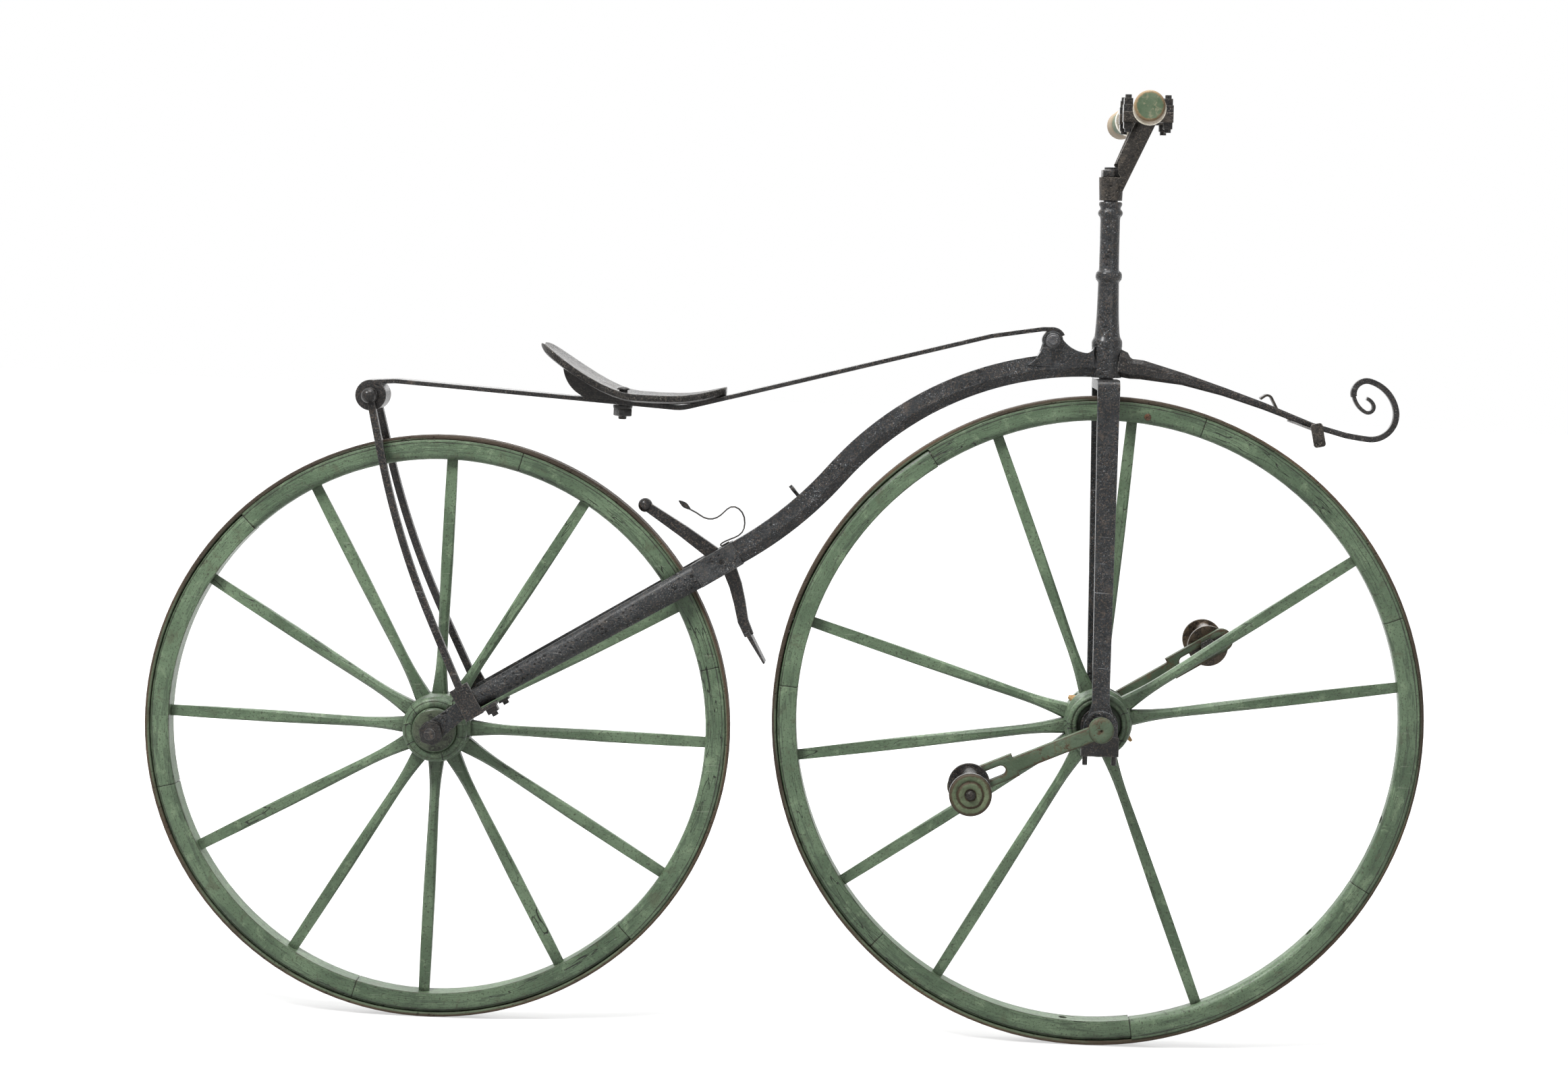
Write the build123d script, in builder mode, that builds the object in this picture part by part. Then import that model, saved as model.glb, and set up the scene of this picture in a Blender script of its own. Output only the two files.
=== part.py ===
"""Boneshaker velocipede of about 1869: wrought iron backbone, wooden wheels with iron tyres."""
import os
from collections import namedtuple
from math import atan2, cos, degrees, hypot, radians, sin, tan

from build123d import *

os.makedirs("parts", exist_ok=True)

# Overall layout. Millimetres; X forward, Y to the rider's left, Z up.
FRONT_RADIUS = 457.0
REAR_RADIUS = 410.0
WHEEL_GAP = 58.0
WHEELBASE = FRONT_RADIUS + REAR_RADIUS + WHEEL_GAP
HEAD_RAKE = 1.15
LEG_ANGLE = 31.4

# Wooden rims and iron tyres
TYRE_THICKNESS = 6.0
TYRE_WIDTH = 28.0
FELLOE_DEPTH = 28.0
FELLOE_WIDTH = 30.0
FELLOE_ROUND = 9.0
FELLOE_JOINT = 0.9

# Wooden hubs and spokes
HUB_BARREL_RADIUS = 48.0
HUB_RING_RADIUS = 44.5
HUB_STEP_RADIUS = 31.0
HUB_STEP_HEIGHT = 5.0
HUB_SEAT_HALF = 17.0
FRONT_HUB_HALF = 48.0
REAR_HUB_HALF = 42.0
SPOKE_ROOT = 20.0
SPOKE_NECK = 13.5
SPOKE_SHANK = 16.5
SPOKE_TIP = 15.0
SPOKE_AXIAL = 15.0
SPOKE_CHAMFER = 4.0
MORTISE_WIDTH = 15.0
MORTISE_AXIAL = 11.0
MORTISE_DEPTH = 12.0
TENON_RADIUS = 5.5
TENON_LENGTH = 13.0
FRONT_SPOKE_START = 8.9
REAR_SPOKE_START = 29.0
FRONT_JOINT_START = 21.5
REAR_JOINT_START = 14.6
FRONT_SPOKE_COUNT = 14
REAR_SPOKE_COUNT = 12
MISSING_SPOKES = (2, 5, 10, 12, 13)
SPOKES_PER_FELLOE = 2

# Axles
FRONT_AXLE_RADIUS = 11.0
REAR_AXLE_RADIUS = 8.0
RUNNING_FIT = 0.06
COLLAR_HEIGHT = 6.0
COLLAR_RADIUS = 26.0
REAR_NUT_ACROSS = 31.0
REAR_NUT_HEIGHT = 12.0
REAR_AXLE_STUB = 6.0

# Front fork and steering head, heights measured up the steering axis from the front axle
FORK_LEG_GAP = 56.0
FORK_LEG_THICKNESS = 10.0
FORK_LEG_TOP = 31.0
FORK_LEG_FOOT = 24.0
FORK_CROWN_THICKNESS = 14.0
FORK_TYRE_GAP = 10.0
FORK_EYE_RADIUS = 24.0
FORK_EYE_DEPTH = 18.0
FORK_SPLIT = 12.0
CAP_HEIGHT = 27.0
CAP_BOLT_RADIUS = 3.6
CAP_BOLT_SPREAD = 20.0
CAP_BOLT_TAIL = 13.0
HEAD_GAP = 2.0
SOCKET_RADIUS = 21.0
SOCKET_HEIGHT = 43.0
COLUMN_HEIGHT = 202.0
SPINDLE_RADIUS = 10.0
STEM_BOSS_HEIGHT = 32.0
STEM_BOSS_RADIUS = 17.0
STEM_NUT_ACROSS = 27.0
STEM_NUT_HEIGHT = 11.0

# Handlebar
BAR_FORWARD = 46.0
BAR_RISE = 122.0
BAR_RADIUS = 10.0
BAR_STRAIGHT = 55.0
BAR_REACH = 262.0
BAR_SWEEP = 4.5
BAR_DROOP = 1.2
BEARING_Y = 36.0
BEARING_WIDTH = 18.0
BEARING_HALF = 34.5
BEARING_DEPTH = 14.0
BEARING_BOLT_SPREAD = 27.5
BEARING_BOLT_RADIUS = 4.5
BEARING_NUT = 12.0
GRIP_LENGTH = 104.0
GRIP_RADIUS = 20.5
FERRULE_RADIUS = 22.5
FERRULE_LENGTH = 9.0

# Backbone, tail and spring lug
SPINE_DEPTH = 33.0
SPINE_WIDTH = 32.0
SPINE_TOP_FLAT = 20.0
SPINE_RIDGE_DROP = 3.0
SPINE_BEND_X = 0.266
SPINE_BEND_Z = 0.412
CROTCH_GAP = 14.0
CROTCH_LENGTH = 64.0
CROTCH_DEPTH = 35.0
CROTCH_HALF = 38.0
LUG_X = -77.0
LUG_Z = 32.5
LUG_RADIUS = 13.0
LUG_CHEEK = 5.5
LUG_FOOT = 33.0
HUMP_BOW = 4.0
VALLEY_RUN = 12.0
VALLEY_RISE = 9.0
TAIL_DEPTH = 8.0
TAIL_WIDTH = 9.0
REST_WIDTH = 16.5
REST_THICKNESS = 3.2
REST_NEAR = 62.0
REST_FAR = 96.0
REST_SKEW = 14.0
REST_SLOPE = -19.0
TONGUE_LENGTH = 33.0
TONGUE_LEAN = 12.5
SCROLL_TIP = 5.0

# Rear fork legs
LEG_OFFSET = 10.5
LEG_FOOT_U = 66.0
LEG_THICKNESS = 14.0
LEG_FOOT_DEPTH = 26.0
LEG_FOOT_INNER = 47.0
LEG_CROTCH_INNER = 24.0
DROPOUT_THICKNESS = 8.0
DROPOUT_RADIUS = 15.0

# Saddle spring, stays and saddle
SPRING_THICKNESS = 6.0
SPRING_WIDTH = 42.0
SPRING_TAPER = 0.36
SPRING_SAG = 0.445
SPRING_DROP = 21.0
SPRING_BOW = 6.0
FRONT_EYE_RADIUS = 14.5
FRONT_HOOK_RADIUS = 15.4
SPRING_EYE_RADIUS = 21.5
SPRING_REAR_X = -108.0
SPRING_REAR_RISE = 462.0
SPRING_BOLT_RADIUS = 5.0
SPRING_EYE_WIDTH = 21.0
BALL_RADIUS = 10.5
STAY_THICKNESS = 10.0
STAY_EYE_RADIUS = 11.0
STAY_BOW = 1200.0
STAY_PLATE_THICKNESS = 6.0
STAY_PLATE_LENGTH = 27.0
STAY_FLANGE_LENGTH = 33.0
SADDLE_THICKNESS = 9.0
SADDLE_REAR_WIDTH = 140.0
SADDLE_NOSE_WIDTH = 76.0
SADDLE_BOLT_RADIUS = 6.0
WEDGE_RUN = 30.0
WEDGE_BOW = 8.0
SEAT_BOLT_X = -48.0

# Brake
LEVER_HALF = 5.5
LEVER_BALL_RADIUS = 10.0
SHOE_TIP = 2.6
SHOE_THICKNESS = 7.0
SHOE_WIDTH = 34.0
RETURN_WIRE = 2.2
EYE_RING_RADIUS = 6.8
EYE_BORE_RADIUS = 3.5
EYE_HEIGHT = 11.0
EYE_SHARE = 0.65

# Cranks and pedals
CRANK_Y = 80.0
CRANK_THICKNESS = 13.0
CRANK_BOSS_RADIUS = 17.5
CRANK_ARM_WIDTH = 20.0
CRANK_END_WIDTH = 32.0
CRANK_END_START = 127.0
CRANK_SLOT_START = 142.0
CRANK_SLOT_LENGTH = 76.0
CRANK_SLOT_WIDTH = 14.0
RIGHT_CRANK_ANGLE = 204.1
LEFT_CRANK_ANGLE = 32.0
RIGHT_PIN_REACH = 196.0
LEFT_PIN_REACH = 190.0
PEDAL_PIN_RADIUS = 6.5
PEDAL_GAP = 4.0
PEDAL_LENGTH = 88.0
PEDAL_DISC_RADIUS = 29.0
PEDAL_DISC_THICKNESS = 6.0
PEDAL_LOBE_REACH = 14.0
PEDAL_LOBE_RADIUS = 11.0
PEDAL_WASHER_RADIUS = 15.5
PEDAL_NUT_HEIGHT = 8.0

RIGHT = 1
LEFT = -1
SIDES = ((RIGHT, "right"), (LEFT, "left"))


def along(start, end, share, bow=0.0):
    """Point a share of the way from start to end in the side view, bow to the left of that line."""
    run, rise = end[0] - start[0], end[1] - start[1]
    lift = bow / hypot(run, rise)
    return (start[0] + run * share - rise * lift, start[1] + rise * share + run * lift)


def ribbon(points, widths):
    """Closed outline of a strip that follows points with the given widths."""
    upper, lower = [], []
    for index, (x, z) in enumerate(points):
        before = points[max(index - 1, 0)]
        after = points[min(index + 1, len(points) - 1)]
        run = hypot(after[0] - before[0], after[1] - before[1])
        side_x = -(after[1] - before[1]) / run * widths[index] / 2
        side_z = (after[0] - before[0]) / run * widths[index] / 2
        upper.append((x + side_x, z + side_z))
        lower.append((x - side_x, z - side_z))
    return upper + lower[::-1]


def arc_middle(start, end, heading):
    """Middle point of the arc that leaves start at a heading and reaches end."""
    chord = atan2(end[1] - start[1], end[0] - start[0])
    reach = hypot(end[0] - start[0], end[1] - start[1])
    bulge = reach / 2 * tan((chord - heading) / 2)
    return ((start[0] + end[0]) / 2 + sin(chord) * bulge, (start[1] + end[1]) / 2 - cos(chord) * bulge)


# Places in the side view, measured from the ground under the rear axle
REAR_AXLE = (0.0, REAR_RADIUS)
FRONT_AXLE = (WHEELBASE, FRONT_RADIUS)
RAKE = radians(HEAD_RAKE)
LEG = radians(LEG_ANGLE)
CROWN_TOP = FRONT_RADIUS + FORK_TYRE_GAP + FORK_CROWN_THICKNESS
SOCKET_FOOT = CROWN_TOP + HEAD_GAP
SOCKET_TOP = SOCKET_FOOT + SOCKET_HEIGHT
COLUMN_TOP = SOCKET_TOP + COLUMN_HEIGHT
BOSS_FOOT = COLUMN_TOP + HEAD_GAP
BOSS_TOP = BOSS_FOOT + STEM_BOSS_HEIGHT
BAR_HEIGHT = BOSS_FOOT + BAR_RISE
HEAD_MID = SOCKET_FOOT + SPINE_DEPTH / 2
HEAD = (FRONT_AXLE[0] - sin(RAKE) * HEAD_MID, FRONT_AXLE[1] + cos(RAKE) * HEAD_MID)


def on_leg(u, v):
    """Side view point from a distance along the rear fork and above its axle line."""
    return (u * cos(LEG) - v * sin(LEG), REAR_RADIUS + u * sin(LEG) + v * cos(LEG))


CROTCH_U = REAR_RADIUS + CROTCH_GAP
SPINE_U = CROTCH_U + CROTCH_LENGTH
SPINE_START = on_leg(SPINE_U, LEG_OFFSET)
SPINE_BEND = (
    SPINE_START[0] + (HEAD[0] - SPINE_START[0]) * SPINE_BEND_X,
    SPINE_START[1] + (HEAD[1] - SPINE_START[1]) * SPINE_BEND_Z,
)
LUG = (HEAD[0] + LUG_X, HEAD[1] + LUG_Z)
SPRING_REAR = (SPRING_REAR_X, REAR_RADIUS + SPRING_REAR_RISE)
SPRING_BACK = (SPRING_REAR[0] + 34.0, SPRING_REAR[1] + SPRING_EYE_RADIUS - 0.5)
SPRING_FRONT = (LUG[0] - 14.0, LUG[1] + FRONT_HOOK_RADIUS - 0.4)
SPRING_DIP = (
    SPRING_BACK[0] + (SPRING_FRONT[0] - SPRING_BACK[0]) * SPRING_SAG,
    SPRING_BACK[1] - SPRING_DROP,
)
SPRING_CREST = along(SPRING_DIP, SPRING_FRONT, 0.86, SPRING_BOW)
SEAT_BACK = 36.0
SEAT_TOP = SPRING_DIP[1] + SPRING_THICKNESS / 2 + SADDLE_THICKNESS + 5.0
ORIGIN_X = SPRING_DIP[0] - SEAT_BACK
ORIGIN_Z = SEAT_TOP

SIDE = Plane(origin=(-ORIGIN_X, 0, -ORIGIN_Z), x_dir=(1, 0, 0), z_dir=(0, -1, 0))


def side_plane(point, angle=0.0, offset=0.0):
    """Side view plane centred on a point, turned by an angle, offset to the rider's right."""
    turn = radians(angle)
    return Plane(
        origin=(point[0] - ORIGIN_X, -offset, point[1] - ORIGIN_Z),
        x_dir=(cos(turn), 0, sin(turn)),
        z_dir=(0, -1, 0),
    )


STEER = side_plane(FRONT_AXLE, HEAD_RAKE)
STEER_AXIS = Axis(STEER.origin, STEER.y_dir)
REAR_WHEEL = side_plane(REAR_AXLE)
FRONT_WHEEL = side_plane(FRONT_AXLE)
LEG_PLANE = side_plane(REAR_AXLE, LEG_ANGLE)


def across(base, u, v, reach=0.0):
    """Plane square to a base plane's first direction, at u along it and v above it."""
    spot = base.from_local_coords(Vector(u, v, reach))
    return Plane(origin=spot, x_dir=base.z_dir * -1, z_dir=base.x_dir)


def radial(wheel, angle):
    """Plane through a wheel's axis, first direction outward at the angle, second along the axis."""
    turn = radians(angle)
    outward = wheel.x_dir * cos(turn) + wheel.y_dir * sin(turn)
    square = wheel.y_dir * cos(turn) - wheel.x_dir * sin(turn)
    return Plane(origin=wheel.origin, x_dir=outward, z_dir=square)


def spoke_section(wheel, angle, radius):
    """Plane square to a spoke, first direction round the rim, second along the axle."""
    turn = radians(angle)
    outward = wheel.x_dir * cos(turn) + wheel.y_dir * sin(turn)
    square = wheel.y_dir * cos(turn) - wheel.x_dir * sin(turn)
    return Plane(origin=wheel.origin + outward * radius, x_dir=square, z_dir=outward)


Wheel = namedtuple("Wheel", "name plane radius hub_half bore count missing spoke_start joint_start")
WHEELS = (
    Wheel("front", FRONT_WHEEL, FRONT_RADIUS, FRONT_HUB_HALF, FRONT_AXLE_RADIUS,
          FRONT_SPOKE_COUNT, MISSING_SPOKES, FRONT_SPOKE_START, FRONT_JOINT_START),
    Wheel("rear", REAR_WHEEL, REAR_RADIUS, REAR_HUB_HALF, REAR_AXLE_RADIUS + RUNNING_FIT,
          REAR_SPOKE_COUNT, (), REAR_SPOKE_START, REAR_JOINT_START),
)

for wheel in WHEELS:
    axis = Axis(wheel.plane.origin, wheel.plane.z_dir)
    rim_outer = wheel.radius - TYRE_THICKNESS
    rim_inner = rim_outer - FELLOE_DEPTH
    pitch = 360.0 / wheel.count
    angles = [wheel.spoke_start + pitch * index for index in range(wheel.count)]
    present = [angle for index, angle in enumerate(angles) if index not in wheel.missing]

    # Iron tyre, its corners worn round
    with BuildPart() as tyre:
        with BuildSketch(radial(wheel.plane, 0.0)):
            with Locations((wheel.radius - TYRE_THICKNESS / 2, 0)):
                RectangleRounded(TYRE_THICKNESS, TYRE_WIDTH, TYRE_THICKNESS * 0.3)
        revolve(axis=axis)
    tyre.part.label = wheel.name + "_tyre"
    export_step(tyre.part, "parts/" + wheel.name + "_tyre.step")

    # Felloes, butted end to end with open joints, bored for the spoke tenons
    felloe_count = wheel.count // SPOKES_PER_FELLOE
    felloe_pitch = 360.0 / felloe_count
    joint_angle = degrees(FELLOE_JOINT / rim_outer)
    with BuildPart() as felloes:
        for index in range(felloe_count):
            first = wheel.joint_start + felloe_pitch * index + joint_angle / 2
            with BuildSketch(radial(wheel.plane, first)) as slice_face:
                with Locations(((rim_outer + rim_inner) / 2, 0)):
                    Rectangle(FELLOE_DEPTH, FELLOE_WIDTH)
                fillet(slice_face.vertices().sort_by(Axis(wheel.plane.origin, slice_face.workplanes[0].x_dir))[:2],
                       FELLOE_ROUND)
            revolve(axis=axis, revolution_arc=felloe_pitch - joint_angle)
        for angle in angles:
            with BuildSketch(spoke_section(wheel.plane, angle, rim_inner - 1)):
                Circle(TENON_RADIUS)
            extrude(amount=TENON_LENGTH + 1, mode=Mode.SUBTRACT)
    felloes.part.label = wheel.name + "_felloes"
    export_step(felloes.part, "parts/" + wheel.name + "_felloes.step")

    # Turned hub with a spoke seat, face rings and one mortise a spoke
    half = wheel.hub_half
    lip = half - HUB_STEP_HEIGHT
    hub_half_profile = [
        (HUB_BARREL_RADIUS, HUB_SEAT_HALF),
        (HUB_RING_RADIUS - 2, HUB_SEAT_HALF + 4),
        (HUB_RING_RADIUS - 2, lip - 13),
        (HUB_RING_RADIUS, lip - 11),
        (HUB_RING_RADIUS, lip - 3),
        (HUB_RING_RADIUS - 3, lip),
        (HUB_STEP_RADIUS, lip),
    ]
    if wheel.name == "rear":
        hub_half_profile += [(HUB_STEP_RADIUS, half - 2), (HUB_STEP_RADIUS - 2, half), (wheel.bore, half)]
    else:
        hub_half_profile += [(HUB_STEP_RADIUS, lip - COLLAR_HEIGHT), (wheel.bore, lip - COLLAR_HEIGHT)]
    with BuildPart() as hub:
        with BuildSketch(radial(wheel.plane, 0.0)):
            with BuildLine():
                mirrored = [(radius, -axial) for radius, axial in hub_half_profile[::-1]]
                Polyline(*(mirrored + hub_half_profile), close=True)
            make_face()
        revolve(axis=axis)
        for angle in angles:
            with BuildSketch(spoke_section(wheel.plane, angle, HUB_BARREL_RADIUS - MORTISE_DEPTH)):
                Rectangle(MORTISE_WIDTH, MORTISE_AXIAL)
            extrude(amount=MORTISE_DEPTH + 2, mode=Mode.SUBTRACT)
    hub.part.label = wheel.name + "_hub"
    export_step(hub.part, "parts/" + wheel.name + "_hub.step")

    # Spokes, flared where they meet the hub and chamfered to eight sides
    stations = (
        (HUB_BARREL_RADIUS - 3, SPOKE_ROOT, SPOKE_AXIAL + 6),
        (HUB_BARREL_RADIUS + 16, SPOKE_ROOT - 3, SPOKE_AXIAL + 3),
        (HUB_BARREL_RADIUS + 52, SPOKE_NECK, SPOKE_AXIAL),
        (rim_inner * 0.62, SPOKE_SHANK, SPOKE_AXIAL),
        (rim_inner - 0.25, SPOKE_TIP, SPOKE_AXIAL),
    )
    with BuildPart() as spokes:
        for angle in present:
            for radius, width, axial in stations:
                with BuildSketch(spoke_section(wheel.plane, angle, radius)) as eight_sided:
                    Rectangle(width, axial)
                    chamfer(eight_sided.vertices(), SPOKE_CHAMFER)
            loft(ruled=True)
        with BuildSketch(wheel.plane):
            Circle(HUB_BARREL_RADIUS)
        extrude(amount=HUB_SEAT_HALF * 2, both=True, mode=Mode.SUBTRACT)
        for angle in present:
            with BuildSketch(spoke_section(wheel.plane, angle, HUB_BARREL_RADIUS - MORTISE_DEPTH)):
                Rectangle(MORTISE_WIDTH, MORTISE_AXIAL)
            extrude(amount=MORTISE_DEPTH + 1)
            with BuildSketch(spoke_section(wheel.plane, angle, rim_inner - 1)):
                Circle(TENON_RADIUS)
            extrude(amount=TENON_LENGTH)
    spokes.part.label = wheel.name + "_spokes"
    export_step(spokes.part, "parts/" + wheel.name + "_spokes.step")

FORK_EYE_OUTER = FORK_LEG_GAP - 3 + FORK_EYE_DEPTH
CRANK_OUTER = CRANK_Y + CRANK_THICKNESS

# Front axle, keyed in the hub, with a collar in each hub face
with BuildPart() as front_axle:
    with BuildSketch(FRONT_WHEEL):
        Circle(FRONT_AXLE_RADIUS)
    extrude(amount=CRANK_OUTER, both=True)
    for side, _ in SIDES:
        with BuildSketch(FRONT_WHEEL.offset(side * (FRONT_HUB_HALF - HUB_STEP_HEIGHT - COLLAR_HEIGHT))):
            Circle(COLLAR_RADIUS)
        extrude(amount=side * (COLLAR_HEIGHT + 4))
front_axle.part.label = "front_axle"
export_step(front_axle.part, "parts/front_axle.step")

# Rear axle, clamped in the fork ends, with a shoulder each side of the hub
with BuildPart() as rear_axle:
    with BuildSketch(REAR_WHEEL):
        Circle(REAR_AXLE_RADIUS)
    extrude(amount=LEG_FOOT_INNER + LEG_THICKNESS + REAR_NUT_HEIGHT + REAR_AXLE_STUB, both=True)
    for side, _ in SIDES:
        with BuildSketch(REAR_WHEEL.offset(side * (REAR_HUB_HALF + 0.5))):
            Circle(REAR_AXLE_RADIUS * 1.7)
        extrude(amount=side * (LEG_FOOT_INNER + LEG_THICKNESS - DROPOUT_THICKNESS - REAR_HUB_HALF - 0.5))
rear_axle.part.label = "rear_axle"
export_step(rear_axle.part, "parts/rear_axle.step")

with BuildPart() as rear_axle_nuts:
    for side, _ in SIDES:
        with BuildSketch(REAR_WHEEL.offset(side * (LEG_FOOT_INNER + LEG_THICKNESS))):
            RegularPolygon(REAR_NUT_ACROSS / 2, 6, major_radius=False, rotation=14)
            Circle(REAR_AXLE_RADIUS, mode=Mode.SUBTRACT)
        extrude(amount=side * REAR_NUT_HEIGHT)
rear_axle_nuts.part.label = "rear_axle_nuts"
export_step(rear_axle_nuts.part, "parts/rear_axle_nuts.step")

# Front fork: crown, strap legs, open-ended axle eyes and the steering spindle, one forging
with BuildPart() as front_fork:
    with BuildSketch(STEER):
        with Locations((0, CROWN_TOP - FORK_CROWN_THICKNESS / 2)):
            Rectangle(FORK_LEG_TOP, FORK_CROWN_THICKNESS)
    extrude(amount=FORK_LEG_GAP + FORK_LEG_THICKNESS, both=True)
    corners = front_fork.edges().filter_by(Axis(STEER.origin, STEER.x_dir)).sort_by(STEER_AXIS)[-2:]
    fillet(corners, FORK_CROWN_THICKNESS * 0.85)
    for side, _ in SIDES:
        with BuildSketch(STEER.offset(side * FORK_LEG_GAP)):
            with BuildLine():
                Polyline(
                    (-FORK_LEG_TOP / 2, CROWN_TOP - FORK_CROWN_THICKNESS),
                    (FORK_LEG_TOP / 2, CROWN_TOP - FORK_CROWN_THICKNESS),
                    (FORK_LEG_FOOT / 2 + 1, FRONT_RADIUS * 0.45),
                    (FORK_LEG_FOOT / 2, FORK_EYE_RADIUS + 10),
                    (FORK_EYE_RADIUS * 0.72, FORK_EYE_RADIUS * 0.7),
                    (-FORK_EYE_RADIUS * 0.72, FORK_EYE_RADIUS * 0.7),
                    (-FORK_LEG_FOOT / 2, FORK_EYE_RADIUS + 10),
                    (-FORK_LEG_FOOT / 2 - 1, FRONT_RADIUS * 0.45),
                    close=True,
                )
            make_face()
        extrude(amount=side * FORK_LEG_THICKNESS)
        with BuildSketch(STEER.offset(side * (FORK_LEG_GAP - 3))):
            Circle(FORK_EYE_RADIUS)
            with Locations((0, -FORK_SPLIT / 2)):
                Rectangle(FORK_EYE_RADIUS * 2, FORK_SPLIT)
            with Locations((0, -FORK_SPLIT - FORK_EYE_RADIUS)):
                Rectangle(FORK_EYE_RADIUS * 3, FORK_EYE_RADIUS * 2, mode=Mode.SUBTRACT)
            Circle(FRONT_AXLE_RADIUS + RUNNING_FIT, mode=Mode.SUBTRACT)
            with Locations((0, -FORK_SPLIT)):
                Rectangle(2 * (FRONT_AXLE_RADIUS + RUNNING_FIT), FORK_SPLIT * 2, mode=Mode.SUBTRACT)
        extrude(amount=side * FORK_EYE_DEPTH)
        with BuildSketch(STEER.offset(side * (FORK_LEG_GAP - 3))):
            Circle(FRONT_AXLE_RADIUS + RUNNING_FIT)
        extrude(amount=side * FORK_EYE_DEPTH, mode=Mode.SUBTRACT)
    with BuildSketch(Plane(STEER.origin + STEER.y_dir * CROWN_TOP, x_dir=STEER.x_dir, z_dir=STEER.y_dir)):
        Circle(SPINDLE_RADIUS)
    extrude(amount=BOSS_TOP + STEM_NUT_HEIGHT + 3 - CROWN_TOP)
front_fork.part.label = "front_fork"
export_step(front_fork.part, "parts/front_fork.step")

# Axle keepers closing the fork ends, each held by two bolts
with BuildPart() as axle_keepers:
    for side, _ in SIDES:
        with BuildSketch(STEER.offset(side * (FORK_LEG_GAP - 3))):
            with Locations((0, -FORK_SPLIT - CAP_HEIGHT / 2)):
                Rectangle(FORK_EYE_RADIUS * 2 + 4, CAP_HEIGHT)
        extrude(amount=side * FORK_EYE_DEPTH)
        for spread in (-CAP_BOLT_SPREAD, CAP_BOLT_SPREAD):
            centre = STEER.from_local_coords(
                Vector(spread, -FORK_SPLIT, side * (FORK_LEG_GAP - 3 + FORK_EYE_DEPTH / 2)))
            with BuildSketch(Plane(centre, x_dir=STEER.x_dir, z_dir=-STEER.y_dir)):
                Circle(CAP_BOLT_RADIUS)
            extrude(amount=CAP_HEIGHT, mode=Mode.SUBTRACT)
axle_keepers.part.label = "axle_keepers"
export_step(axle_keepers.part, "parts/axle_keepers.step")

with BuildPart() as keeper_bolts:
    for side, _ in SIDES:
        for spread in (-CAP_BOLT_SPREAD, CAP_BOLT_SPREAD):
            centre = STEER.from_local_coords(
                Vector(spread, -FORK_SPLIT, side * (FORK_LEG_GAP - 3 + FORK_EYE_DEPTH / 2)))
            with BuildSketch(Plane(centre, x_dir=STEER.x_dir, z_dir=-STEER.y_dir)):
                Circle(CAP_BOLT_RADIUS)
            extrude(amount=CAP_HEIGHT + CAP_BOLT_TAIL)
keeper_bolts.part.label = "keeper_bolts"
export_step(keeper_bolts.part, "parts/keeper_bolts.step")

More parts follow.
